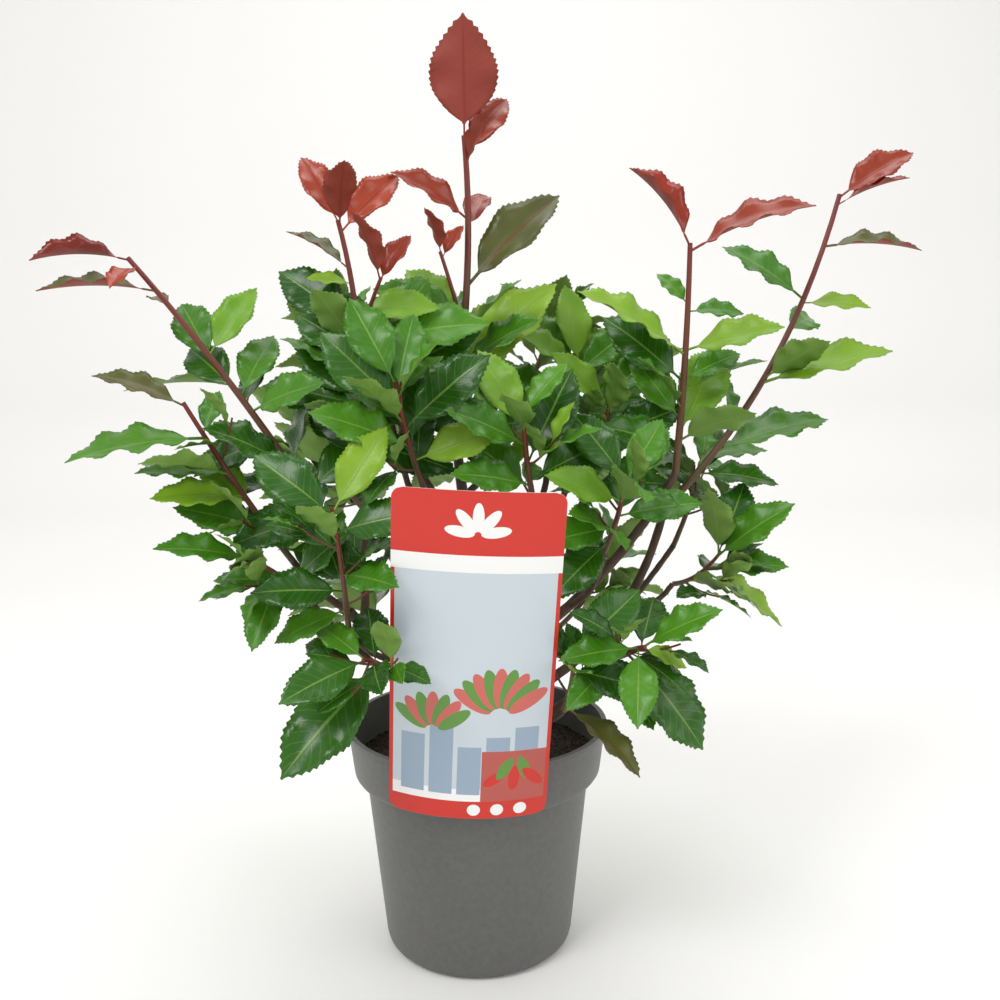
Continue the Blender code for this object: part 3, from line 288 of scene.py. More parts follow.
S = Stance
MASSES = {
    "leaves_leader": Mass(
        "trunk", (-4, 0, 578), (6, 3, 5), 3.0,
        stances=(
            S(1.0, 272, 87, 80, FLAG, 0), S(0.99, 30, 64, 60, FOLDED, 20), S(0.94, 28, 52, 58, RED, 60),
            S(0.9, 318, 46, 48, RED, 30), S(0.7, 200, 28, 62, RED, 55), S(0.67, 74, 36, 48, RED),
            S(0.46, 24, 42, 98, BRONZE, 50), S(0.43, 106, 70, 60, LIME), S(0.3, 140, 40, 72, LIME, 55),
            S(0.36, 204, 20, 66, GREEN, 60), S(0.08, 32, 54, 98, LIME, 55), S(0.15, 14, 42, 96, LIME, 50),
            S(0.17, 330, 28, 72, GREEN, 50), S(0.05, 150, 30, 70, GREEN, 50),
        ),
        leaves=6, span=(0.03, 0.34), length=68, turn=60, tones=(GREEN, LIME),
        side=((0.3, (-21, -12, 500), 2, 36, RED),),
    ),
    "leaves_far_left": Mass(
        "bough_left_rise", (-228, -26, 496), (-2, 3, 9), 2.7,
        stances=(
            S(1.0, 205, -2, 62, FOLDED, 30), S(0.99, 146, 66, 32, RED), S(0.97, 262, -24, 40, RED),
            S(0.87, 212, -1, 74, BRONZE, 14), S(0.81, 150, 14, 36, BRONZE, 20),
            S(0.62, 36, 52, 58, LIME, 55), S(0.6, 158, 34, 62, GREEN, 60), S(0.5, 166, 26, 60, DARK, 55),
            S(0.47, 70, 44, 60, GREEN, 50), S(0.42, 334, 18, 64, GREEN, 60),
            S(0.33, 216, -22, 58, DARK, 40), S(0.22, 196, 22, 74, DARK, 60),
            S(0.16, 30, 34, 64, DARK, 60), S(0.08, 206, -4, 70, DARK, 55),
        ),
        leaves=7, span=(0.05, 0.55), length=64, turn=20, tones=(DARK, GREEN),
    ),
    "leaves_left_arm": Mass(
        "bough_left_arm", (-180, -78, 402), (3, -2, -7), 2.3,
        stances=(
            S(1.0, 194, 20, 58, BRONZE, 34), S(0.84, 204, -8, 84, GREEN, 22), S(0.86, 73, 52, 34, GREEN),
            S(0.64, 176, 6, 58, GREEN, 26), S(0.6, 32, 50, 60, DARK, 60), S(0.5, 204, 2, 58, LIME, 40),
            S(0.42, 150, 34, 56, LIME, 50), S(0.34, 346, 14, 66, DARK, 60),
            S(0.26, 190, 16, 62, GREEN, 50), S(0.12, 350, -12, 62, DARK, 60),
        ),
        leaves=5, span=(0.05, 0.7), length=60, turn=250, tones=(DARK, GREEN),
    ),
    "leaves_left_shank": Mass(
        "bough_left_shank", (-140, -95, 306), (0, 0, 3), 1.9,
        stances=(
            S(1.0, 205, 12, 60, GREEN, 34), S(0.5, 246, -52, 52, GREEN), S(0.9, 140, 34, 52, DARK, 30),
            S(0.3, 330, 40, 58, DARK, 60),
        ),
        leaves=2, span=(0.2, 0.9), length=52, turn=40, tones=(DARK, GREEN),
    ),
    "leaves_left_front": Mass(
        "bough_left_front", (-84, -106, 338), (2, -6, 0), 2.1,
        stances=(
            S(0.5, 330, 6, 54, GREEN, 50), S(1.0, 36, 52, 64, LIME, 55), S(0.97, 162, 34, 66, DARK, 58),
            S(0.84, 350, 14, 58, DARK, 55), S(0.68, 158, 36, 58, DARK, 50), S(0.36, 200, 4, 58, DARK, 55),
            S(0.2, 186, -24, 50, GREEN, 40),
        ),
        leaves=2, span=(0.2, 0.95), length=54, turn=110, tones=(DARK, GREEN),
    ),
    "leaves_left_spray": Mass(
        "bough_left_spray", (-86, -36, 518), (6, 2, 8), 2.5,
        stances=(
            S(1.0, 150, 56, 54, RED, 50), S(0.98, 284, 38, 56, RED), S(0.96, 28, 42, 60, RED, 60),
            S(0.8, 164, 30, 52, BRONZE, 12), S(0.74, 190, 6, 30, LIME), S(0.64, 330, -4, 56, LIME, 60),
            S(0.56, 162, 34, 70, DARK, 60), S(0.5, 352, 8, 88, GREEN, 50), S(0.44, 150, 30, 62, DARK, 50),
            S(0.36, 340, 24, 74, DARK, 62), S(0.27, 196, 12, 70, DARK, 55),
            S(0.14, 332, -12, 66, DARK, 55),
        ),
        leaves=6, span=(0.04, 0.6), length=66, turn=100, tones=(DARK, GREEN),
        side=((0.5, (-57, -50, 480), 2, 50, RED),),
    ),
    "leaves_front_left": Mass(
        "bough_front_left", (-66, -118, 246), (0, 0, 4), 2.2,
        stances=(
            S(0.95, 214, -16, 60, DARK, 50), S(0.4, 214, -40, 90, DARK, 44),
            S(1.0, 150, 20, 46, GREEN, 30), S(0.6, 110, 30, 50, DARK),
        ),
        leaves=1, span=(0.3, 1.0), length=52, turn=150, tones=(DARK, GREEN),
    ),
    "leaves_right_tall": Mass(
        "bough_right_low", (152, 5, 506), (2, 2, 0), 2.8,
        stances=(
            S(1.0, 158, 52, 72, FOLDED, 24), S(1.0, 52, 68, 60, RED, 36), S(0.98, 345, 18, 88, RED, 30),
            S(0.72, 15, -2, 44, GREEN), S(0.53, 196, 28, 92, LIME, 36), S(0.75, 142, 42, 34, GREEN),
            S(0.55, 332, 12, 70, LIME, 50), S(0.42, 16, 22, 48, GREEN, 50), S(0.18, 28, 52, 84, LIME, 58),
            S(0.41, 158, 38, 76, DARK, 60), S(0.24, 156, 50, 62, GREEN, 55),
            S(0.1, 204, 18, 66, DARK, 60),
        ),
        leaves=5, span=(0.04, 0.4), length=62, turn=170, tones=(DARK, GREEN),
    ),
    "leaves_right_arch": Mass(
        "bough_right_rise", (268, 45, 544), (13, 0, -13), 2.8,
        stances=(
            S(1.0, 8, 30, 66, RED, 46), S(0.98, 330, 18, 52, RED, 20), S(0.91, 150, 50, 26, FOLDED),
            S(0.87, 6, -2, 76, BRONZE, 22), S(0.66, 30, 54, 88, LIME, 58),
            S(0.72, 160, 34, 72, GREEN, 36), S(0.71, 338, -6, 48, LIME, 36),
            S(0.46, 344, 14, 92, LIME, 34), S(0.22, 10, 14, 92, GREEN, 20), S(0.3, 61, 52, 46, DARK),
            S(0.14, 356, -8, 60, DARK, 30),
        ),
        leaves=4, span=(0.1, 0.7), length=54, turn=90, tones=(GREEN, LIME),
    ),
    "leaves_right_back": Mass(
        "bough_right_back", (173, 50, 352), (3, 2, 2), 2.1,
        stances=(
            S(1.0, 12, 6, 54, GREEN, 20), S(0.6, 130, 30, 58, DARK),
        ),
        leaves=5, span=(0.2, 1.0), length=58, turn=230, tones=(DARK, GREEN),
    ),
    "leaves_right_side": Mass(
        "bough_right_side", (176, -6, 290), (0, -2, -5), 1.9,
        stances=(
            S(1.0, 240, 62, 58, DARK, 30), S(0.98, 47, 54, 62, DARK, 50), S(0.94, 338, 38, 68, GREEN, 50),
            S(0.7, 345, 4, 58, GREEN, 30), S(0.66, 10, -36, 76, LIME, 26),
        ),
        leaves=2, span=(0.15, 0.8), length=50, turn=10, tones=(DARK, GREEN),
    ),
    "leaves_right_mid": Mass(
        "bough_right_mid", (100, -64, 352), (2, -2, 0), 2.2,
        stances=(
            S(0.98, 150, 48, 58, DARK, 60), S(0.94, 20, 52, 52, GREEN, 60), S(0.7, 204, 20, 60, LIME, 60),
            S(0.5, 350, 10, 56, GREEN, 50), S(0.34, 202, -8, 56, GREEN, 50),
            S(0.15, 214, -34, 60, DARK, 50),
        ),
        leaves=4, span=(0.2, 0.95), length=56, turn=310, tones=(DARK, GREEN),
    ),
    "leaves_right_inner": Mass(
        "bough_right_inner", (98, 12, 402), (4, 2, -2), 2.2,
        stances=(
            S(0.98, 350, 50, 60, GREEN, 60), S(0.9, 196, 44, 60, LIME, 60),
            S(0.66, 342, 24, 66, DARK, 60), S(0.5, 198, 16, 60, DARK, 50), S(0.3, 346, 0, 60, DARK, 50),
        ),
        leaves=5, span=(0.1, 0.95), length=60, turn=70, tones=(DARK, GREEN),
    ),
    "leaves_front_right": Mass(
        "bough_front_right", (107, -111, 251), (0, 0, 3), 2.2,
        stances=(
            S(1.0, 338, 30, 56, GREEN), S(0.9, 176, -6, 52, GREEN), S(0.88, 262, -46, 54, GREEN),
            S(0.98, 14, -28, 34, LIME), S(0.55, 354, -52, 80, DARK, 50), S(0.95, 72, 24, 52, DARK),
            S(0.2, 320, -52, 50, DARK), S(0.3, 196, -26, 50, GREEN, 50),
        ),
        leaves=1, span=(0.3, 0.9), length=50, turn=60, tones=(DARK, GREEN),
    ),
    "leaves_low_right": Mass(
        "bough_low_right", (63, -108, 250), (2, -2, 0), 2.1,
        stances=(
            S(0.08, 330, -36, 64, BRONZE, 8), S(0.45, 200, -4, 48, GREEN, 50),
            S(0.96, 30, 34, 62, DARK, 60), S(0.8, 160, 40, 52, DARK, 60), S(0.7, 352, -14, 56, DARK, 55),
        ),
        leaves=1, span=(0.3, 1.0), length=46, turn=330, tones=(DARK, GREEN),
    ),
    "leaves_mid_right": Mass(
        "bough_mid_right", (34, -76, 400), (-3, -2, 2), 2.3,
        stances=(
            S(0.8, 144, 54, 62, LIME, 55), S(0.66, 202, 24, 60, GREEN, 60), S(0.5, 36, 58, 72, DARK, 55),
            S(0.36, 352, 26, 72, DARK, 60), S(0.3, 158, 34, 62, GREEN, 60),
        ),
        leaves=5, span=(0.25, 1.0), length=58, turn=200, tones=(GREEN, LIME),
    ),
    "leaves_centre_right": Mass(
        "bough_centre_right", (77, 26, 424), (0, 2, 2), 2.3,
        stances=(
            S(1.0, 118, 72, 62, LIME, 20), S(0.96, 207, 28, 58, LIME, 60),
            S(0.93, 148, 44, 66, GREEN, 50), S(0.9, 24, 34, 58, GREEN, 60), S(0.76, 24, 44, 60, LIME, 60),
            S(0.6, 165, 20, 66, GREEN, 50), S(0.5, 346, 10, 62, GREEN, 50), S(0.36, 190, 0, 62, DARK, 50),
        ),
        leaves=5, span=(0.1, 0.9), length=62, turn=40, tones=(DARK, GREEN),
    ),
    "leaves_centre_front": Mass(
        "bough_centre_front", (-46, -84, 414), (-2, -4, 0), 2.2,
        stances=(
            S(1.0, 146, 56, 66, GREEN, 55), S(0.94, 40, 62, 56, GREEN, 60), S(0.8, 170, 44, 72, DARK, 66),
            S(0.66, 350, 40, 72, DARK, 66), S(0.52, 196, 20, 68, GREEN, 60),
            S(0.4, 340, 14, 64, LIME, 60),
        ),
        leaves=4, span=(0.2, 1.0), length=60, turn=280, tones=(DARK, GREEN),
    ),
    "leaves_centre_left": Mass(
        "bough_centre_left", (-62, -34, 436), (-2, 0, 2), 2.2,
        stances=(
            S(0.98, 40, 50, 66, GREEN, 62), S(0.94, 160, 50, 62, DARK, 60),
            S(0.74, 346, 30, 76, DARK, 66), S(0.6, 186, 34, 76, DARK, 66), S(0.44, 350, 4, 70, DARK, 60),
        ),
        leaves=4, span=(0.1, 1.0), length=64, turn=330, tones=(DARK, GREEN),
    ),
    "leaves_back_left": Mass(
        "bough_back_left", (-146, 108, 392), (-3, 3, -6), 2.4,
        leaves=12, length=64, twigs=1, turn=15, tones=(DARK, LIME),
    ),
    "leaves_back_mid": Mass(
        "bough_back_mid", (-26, 158, 424), (0, 5, -4), 2.4,
        leaves=12, length=64, twigs=1, turn=130, tones=(DARK, LIME),
    ),
    "leaves_back_right": Mass(
        "bough_back_right", (132, 128, 420), (4, 4, -6), 2.4,
        leaves=12, length=64, twigs=1, turn=75, tones=(DARK, LIME),
    ),
    "leaves_back_high_left": Mass(
        "bough_back_high_left", (-104, 66, 458), (-3, 2, -4), 2.2,
        leaves=11, length=62, turn=310, tones=(DARK, LIME),
    ),
    "leaves_back_high_right": Mass(
        "bough_back_high_right", (58, 92, 462), (4, 4, -4), 2.2,
        leaves=11, length=62, turn=190, tones=(DARK, LIME),
    ),
    "leaves_back_low_left": Mass(
        "bough_back_low_left", (-124, 102, 270), (-3, 3, -4), 2.2,
        leaves=8, length=60, turn=220, tones=(DARK, GREEN),
    ),
    "leaves_back_low_right": Mass(
        "bough_back_low_right", (116, 112, 272), (3, 3, -4), 2.2,
        leaves=8, length=60, turn=350, tones=(DARK, GREEN),
    ),
}


def compass(heading: float, lift: float) -> Vector:
    """Unit vector at a heading in plan and a lift above the level, both in degrees."""
    turn, rise = math.radians(heading), math.radians(lift)
    return Vector((math.cos(rise) * math.cos(turn), math.cos(rise) * math.sin(turn), math.sin(rise)))


def outward(thing: Thing) -> None:
    """Turn every face of a closed mesh outwards.

    Args:
        thing: object with the mesh.
    """
    work = bmesh.new()
    work.from_mesh(thing.data)
    bmesh.ops.recalc_face_normals(work, faces=work.faces[:])
    work.to_mesh(thing.data)
    work.free()


def new_object(name: str, vertices: list, faces: list) -> Thing:
    """Object made from points and faces, in the scene.

    Args:
        name: name of object and mesh.
        vertices: points in millimetres.
        faces: corner numbers of each face.

    Returns:
        The object, with its faces turned outwards.
    """
    mesh = bpy.data.meshes.new(name)
    mesh.from_pydata([tuple(Vector(v) * MM) for v in vertices], [], faces)
    mesh.validate()
    thing = bpy.data.objects.new(name, mesh)
    bpy.context.scene.collection.objects.link(thing)
    outward(thing)
    return thing


def soften(thing: Thing, angle: float) -> None:
    """Shade a mesh smooth, but for edges sharper than an angle in degrees."""
    thing.data.shade_smooth()
    thing.data.set_sharp_from_angle(angle=math.radians(angle))


def turned(name: str, profile: list[tuple[float, float]], sides: int) -> Thing:
    """Solid of revolution about Z.

    Args:
        name: name of the object.
        profile: closed profile of (radius, height) that starts and ends on the axis.
        sides: facets round it.

    Returns:
        The object.
    """
    vertices = [(0.0, 0.0, profile[0][1])]
    faces = []
    rings = profile[1:-1]
    for radius, height in rings:
        for k in range(sides):
            a = math.tau * k / sides
            vertices.append((radius * math.cos(a), radius * math.sin(a), height))
    last = len(vertices)
    top = last - sides
    vertices.append((0.0, 0.0, profile[-1][1]))
    for k in range(sides):
        n = (k + 1) % sides
        faces.append((0, 1 + n, 1 + k))
        for i in range(len(rings) - 1):
            low, high = 1 + i * sides, 1 + (i + 1) * sides
            faces.append((low + k, low + n, high + n, high + k))
        faces.append((top + k, top + n, last))
    return new_object(name, vertices, faces)


def arc(centre: tuple[float, float], radius: float, start: float, end: float,
        count: int) -> list[tuple[float, float]]:
    """Points of (radius, height) on an arc.

    Args:
        centre: its middle.
        radius: its radius.
        start: angle of the first point, in degrees.
        end: angle of the last one.
        count: steps between them.

    Returns:
        The points.
    """
    points = []
    for k in range(count + 1):
        a = math.radians(start + (end - start) * k / count)
        points.append((centre[0] + radius * math.cos(a), centre[1] + radius * math.sin(a)))
    return points


def cut(body: Thing, cutters: list[Thing]) -> None:
    """Cut shapes out of a body and remove the shapes.

    Args:
        body: object that is cut.
        cutters: the shapes.
    """
    for cutter in cutters:
        modifier = body.modifiers.new("cut", "BOOLEAN")
        modifier.operation = "DIFFERENCE"
        modifier.solver = "EXACT"
        modifier.object = cutter
    graph = bpy.context.evaluated_depsgraph_get()
    graph.update()
    done = bpy.data.meshes.new_from_object(body.evaluated_get(graph))
    body.modifiers.clear()
    body.data = done
    for cutter in cutters:
        bpy.data.objects.remove(cutter)


def box(name: str, centre: Sequence[float], size: Triple, turn: float) -> Thing:
    """Box turned about Z.

    Args:
        name: name of the object.
        centre: its middle, in millimetres.
        size: its sides.
        turn: its turn, in degrees.

    Returns:
        The object.
    """
    spin = Matrix.Rotation(math.radians(turn), 3, "Z")
    vertices = []
    for x in (-0.5, 0.5):
        for y in (-0.5, 0.5):
            for z in (-0.5, 0.5):
                local = Vector((x * size[0], y * size[1], z * size[2]))
                vertices.append(spin @ local + Vector(centre))
    faces = [(0, 1, 3, 2), (4, 6, 7, 5), (0, 4, 5, 1), (2, 3, 7, 6), (0, 2, 6, 4), (1, 5, 7, 3)]
    return new_object(name, vertices, faces)


class Path:
    """Smooth bow between two points whose middle stands off the straight line."""

    def __init__(self, start: Sequence[float], tip: Sequence[float], bend: Sequence[float]) -> None:
        """Set the bow.

        Args:
            start: where it starts, in millimetres.
            tip: where it ends.
            bend: how far its middle stands off the straight line.
        """
        self.start = Vector(start)
        self.tip = Vector(tip)
        self.control = (self.start + self.tip) / 2.0 + 2.0 * Vector(bend)

    def at(self, share: float) -> Vector:
        """Point at a share of the way."""
        rest = 1.0 - share
        return rest * rest * self.start + 2.0 * share * rest * self.control + share * share * self.tip

    def along(self, share: float) -> Vector:
        """Unit direction at a share of the way."""
        slope = (1.0 - share) * (self.control - self.start) + share * (self.tip - self.control)
        return slope.normalized()

    def length(self) -> float:
        """Length of the bow, in millimetres."""
        points = [self.at(k / 16) for k in range(17)]
        return sum((b - a).length for a, b in zip(points, points[1:]))


def across_frame(direction: Vector) -> tuple[Vector, Vector]:
    """Two unit vectors square to a direction.

    Args:
        direction: unit vector.

    Returns:
        The two vectors, square to each other as well.
    """
    helper = UP if abs(direction.z) < 0.9 else VIEWER
    first = direction.cross(helper).normalized()
    return first, direction.cross(first).normalized()


class Limb:
    """One tapering branch: its path, radii and the faceted skin that leaves keep clear of."""

    def __init__(self, path: Path, foot_radius: float, tip_radius: float, sides: int, spans: int,
                 plane: tuple[Vector, Vector] | None = None, flare: float = 1.0) -> None:
        """Lay the limb's rings along its path.

        Args:
            path: its middle line.
            foot_radius: radius where it starts, in millimetres.
            tip_radius: radius at its tip.
            sides: facets round it.
            spans: ring gaps along it.
            plane: a point and a direction of the plane that its foot butts on.
            flare: how many times wider its foot is than its shaft.
        """
        self.path = path
        self.foot_radius = foot_radius
        self.tip_radius = tip_radius
        self.flare = flare
        shares = [k / spans for k in range(spans + 1)]
        if flare > 1.0:
            shares.insert(1, ROOT_FLARE_HEIGHT / path.length())
        self.vertices = self._rings(shares, sides, plane)
        self.tree = BVHTree.FromPolygons(self.vertices, self._skin(len(shares), sides))

    def _rings(self, shares: list[float], sides: int, plane: tuple[Vector, Vector] | None) -> list[Vector]:
        """Points of the rings, which are carried along the path without a twist, and of the caps.

        Args:
            shares: where the rings stand.
            sides: points of a ring.
            plane: the plane that the first ring is cut by, or None.

        Returns:
            Points in millimetres.
        """
        points = []
        heading = self.path.along(0.0)
        first, _ = across_frame(heading)
        for share in shares:
            along = self.path.along(share)
            first = (heading.rotation_difference(along) @ first).normalized()
            second = along.cross(first).normalized()
            heading = along
            radius = self.radius(share)
            if share == 0.0:
                radius *= self.flare
            for k in range(sides):
                a = math.tau * (k + 0.5) / sides
                point = self.path.at(share) + radius * (math.cos(a) * first + math.sin(a) * second)
                if share == 0.0 and plane is not None:
                    centre, square = plane
                    point += ((centre - point).dot(square) / along.dot(square)) * along
                elif share == 0.0 and self.flare > 1.0:
                    point.z = self.path.start.z
                points.append(point)
        return points + [sum(points[:sides], Vector()) / sides, self.path.at(1.0)]

    @staticmethod
    def _skin(rings: int, sides: int) -> list[tuple[int, int, int]]:
        """Triangles between the rings and over the caps.

        Args:
            rings: number of rings.
            sides: points of a ring.

        Returns:
            Corner numbers of each triangle.
        """
        faces = []
        for i in range(rings - 1):
            for k in range(sides):
                n = (k + 1) % sides
                low, high = i * sides, (i + 1) * sides
                faces.append((low + k, low + n, high + n))
                faces.append((low + k, high + n, high + k))
        base = rings * sides
        top = base - sides
        for k in range(sides):
            n = (k + 1) % sides
            faces.append((base, n, k))
            faces.append((base + 1, top + k, top + n))
        return faces

    def radius(self, share: float) -> float:
        """Radius at a share of the way, without the root flare."""
        return self.foot_radius + (self.tip_radius - self.foot_radius) * share

    def flared_radius(self, share: float) -> float:
        """Radius at a share of the way, with the root flare fading out above the compost."""
        fade = max(0.0, 1.0 - share * self.path.length() / ROOT_FLARE_HEIGHT)
        return self.radius(share) * (1.0 + (self.flare - 1.0) * fade**2)


def tip_plane(carrier: Limb) -> tuple[Vector, Vector]:
    """Plane that butts on a limb's tip, clear of it by the seat gap."""
    end = carrier.path.along(1.0)
    return carrier.path.at(1.0) + SEAT_GAP * end, end


class Leaf:
    """One leaf: where it stands and the plain solid that keeps it clear of others."""

    def __init__(self, root: Vector, stance: Stance, heading: float, lift: float, roll: float) -> None:
        """Work out the leaf's plain solid.

        Args:
            root: where its stalk leaves the stem, in millimetres.
            stance: its length and tone.
            heading: direction in plan, in degrees.
            lift: rise above the level, in degrees.
            roll: turn about its own length, in degrees.
        """
        self.root = Vector(root)
        self.heading = heading
        self.lift = lift
        self.roll = roll
        self.length = stance.length
        self.tone = stance.tone
        shape = TONES[stance.tone]
        mids, frames = self._midrib(shape)
        self.vertices = self._points(shape, mids, frames)
        self.faces = self._triangles()
        self.whole = self._swollen(frames, 0.0)
        self.guard = self._swollen(frames, LEAF_FREE_SHARE / LEAF_STATIONS[0])

    def _midrib(self, shape: ToneShape) -> tuple[list[Vector], list[tuple[Vector, Vector]]]:
        """Points of the arched midrib, each with its side and face directions.

        Args:
            shape: width, fold and arch of the leaf's tone.

        Returns:
            The points and the pairs of directions.
        """
        rise = self.lift + shape.arch / 2.0
        centre = self.root
        shares = (0.0, *LEAF_STATIONS, 1.0)
        turn = math.radians(self.heading)
        side = Vector((-math.sin(turn), math.cos(turn), 0.0))
        mids = []
        frames = []
        for i, share in enumerate(shares):
            along = compass(self.heading, rise - shape.arch * share)
            spin = Matrix.Rotation(math.radians(self.roll), 3, along)
            mids.append(centre.copy())
            frames.append((spin @ side, spin @ along.cross(side)))
            if i < len(shares) - 1:
                middle = rise - shape.arch * (share + shares[i + 1]) / 2.0
                centre = centre + compass(self.heading, middle) * self.length * (shares[i + 1] - share)
        return mids, frames

    def _points(self, shape: ToneShape, mids: list[Vector],
                frames: list[tuple[Vector, Vector]]) -> list[Vector]:
        """Points of the plain solid: four at the root, four at each station and the tip.

        Args:
            shape: width, fold and arch of the leaf's tone.
            mids: points of the midrib.
            frames: side and face directions there.

        Returns:
            Points in millimetres.
        """
        fold = math.radians(shape.fold)
        thick = LEAF_THICK_SHARE * self.length / 2.0
        side, face = frames[0]
        points = []
        for a, b in ((-1, 0), (0, 1), (1, 0), (0, -1)):
            points.append(mids[0] + a * LEAF_ROOT_WIDE / 2.0 * side + b * LEAF_ROOT_THICK / 2.0 * face)
        for i, width in enumerate(LEAF_WIDTHS):
            reach = shape.width * self.length * width
            side, face = frames[i + 1]
            mid = mids[i + 1]
            edge = reach * math.cos(fold) * side
            raised = reach * math.sin(fold) * face
            points += [mid - edge + raised, mid + thick * face, mid + edge + raised, mid - thick * face]
        return points + [mids[-1]]

    @staticmethod
    def _triangles() -> list[tuple[int, int, int]]:
        """Triangles of the plain solid, split from edge to midrib so that both skins bend alike.

        Returns:
            Corner numbers of each triangle.
        """
        faces = [(0, 1, 2), (0, 2, 3)]
        stations = len(LEAF_WIDTHS)
        for i in range(stations):
            low, high = 4 * i, 4 * (i + 1)
            for edge, mid in ((0, 1), (2, 1), (0, 3), (2, 3)):
                faces.append((low + edge, high + edge, high + mid))
                faces.append((low + edge, high + mid, low + mid))
        last = 4 * stations
        for k in range(4):
            faces.append((last + k, last + 4, last + (k + 1) % 4))
        return faces

    def _swollen(self, frames: list[tuple[Vector, Vector]], free: float) -> list[Vector]:
        """Slightly thicker shape past a free part of the stalk, used to keep leaves apart.

        Args:
            frames: side and face directions along the midrib.
            free: share of the first stretch that is left free.

        Returns:
            Points in millimetres.
        """
        points = [v.copy() for v in self.vertices]
        for k in range(4):
            points[k] = points[k].lerp(points[4 + k], free)
        for row, (side, face) in enumerate(frames[:-1]):
            low = 4 * row
            points[low] -= LEAF_CLEARANCE * side
            points[low + 1] += LEAF_CLEARANCE * face
            points[low + 2] += LEAF_CLEARANCE * side
            points[low + 3] -= LEAF_CLEARANCE * face
        return points

    def tree(self, points: list[Vector]) -> BVHTree:
        """Search tree of the leaf's triangles over the given points."""
        return BVHTree.FromPolygons(points, self.faces)

    def turn(self) -> tuple[float, float, float]:
        """Euler angles that carry a blade lying along +X to this leaf's place.

        Returns:
            The angles in radians.
        """
        spin = Matrix.Rotation(math.radians(self.heading), 3, "Z")
        spin = spin @ Matrix.Rotation(-math.radians(self.lift), 3, "Y")
        spin = spin @ Matrix.Rotation(math.radians(self.roll), 3, "X")
        return tuple(spin.to_euler())


class Crown:
    """Everything that already stands, so that nothing new touches it."""

    def __init__(self) -> None:
        """Start with nothing standing."""
        self.items: list[tuple] = []

    @staticmethod
    def bounds(vertices: list[Vector]) -> tuple[list[float], list[float]]:
        """Low and high corners of some points."""
        return tuple([extreme(v[k] for v in vertices) for k in range(3)] for extreme in (min, max))

    def add(self, owner: str, tree: BVHTree, vertices: list[Vector]) -> None:
        """Let an owner's shape stand, by the search tree of its faces and its points."""
        self.items.append((owner, tree, *self.bounds(vertices)))

    def add_node(self, name: str) -> None:
        """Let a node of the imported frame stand.

        Args:
            name: the node.
        """
        mesh = frame["nodes"][name].data
        points = [v.co / MM for v in mesh.vertices]
        faces = [tuple(face.vertices) for face in mesh.polygons]
        self.add(name, BVHTree.FromPolygons(points, faces), points)

    def refuses(self, owner: str, leaf: Leaf) -> bool:
        """Whether a leaf meets another mass, or its own one beyond its stalk's foot.

        Args:
            owner: mass that the leaf belongs to.
            leaf: the leaf.

        Returns:
            True where it meets something.
        """
        low, high = self.bounds(leaf.whole)
        whole, free = leaf.tree(leaf.whole), leaf.tree(leaf.guard)
        for other, tree, floor, ceiling in self.items:
            if any(high[k] < floor[k] or low[k] > ceiling[k] for k in range(3)):
                continue
            if (free if other == owner else whole).overlap(tree):
                return True
        return False


@dataclass
class Row:
    """Leaves that the rule sets up one stem.

    count leaves stand over the two shares of span, about length millimetres long, the first
    at a turn round the stem in degrees.
    """

    count: int
    span: tuple[float, float]
    length: float
    turn: float

    def stances(self, rng: random.Random, path: Path, mass: Mass) -> list[Stance]:
        """Alternate leaves, each a golden turn on from the last.

        Args:
            rng: source of the draws.
            path: the stem's line.
            mass: lean and tones of the leaves.

        Returns:
            One stance for each leaf.
        """
        found = []
        for k in range(self.count):
            share = self.span[0] + (self.span[1] - self.span[0]) * (k + 0.5) / self.count
            along = path.along(share)
            first, second = across_frame(along)
            a = math.radians(self.turn + GOLDEN_TURN * k)
            out = math.cos(a) * first + math.sin(a) * second
            usual = mass.lean[0] + (mass.lean[1] - mass.lean[0]) * share
            lean = math.radians(usual + rng.uniform(-LEAN_SPREAD, LEAN_SPREAD))
            way = (math.cos(lean) * along + math.sin(lean) * out).normalized()
            heading = math.degrees(math.atan2(way.y, way.x))
            lift = max(LEAST_RULE_LIFT, math.degrees(math.asin(way.z)) - RULE_DROOP)
            shorter = 1.0 - TIP_LOSS * max(0.0, share - TIP_FROM) / TIP_REACH
            size = self.length * rng.uniform(*SIZE_SPREAD) * shorter
            tone = mass.tones[1] if share > YOUNG_FROM else mass.tones[0]
            if rng.random() < GREEN_CHANCE:
                tone = GREEN
            found.append(Stance(share, heading, lift, size, tone))
        return found


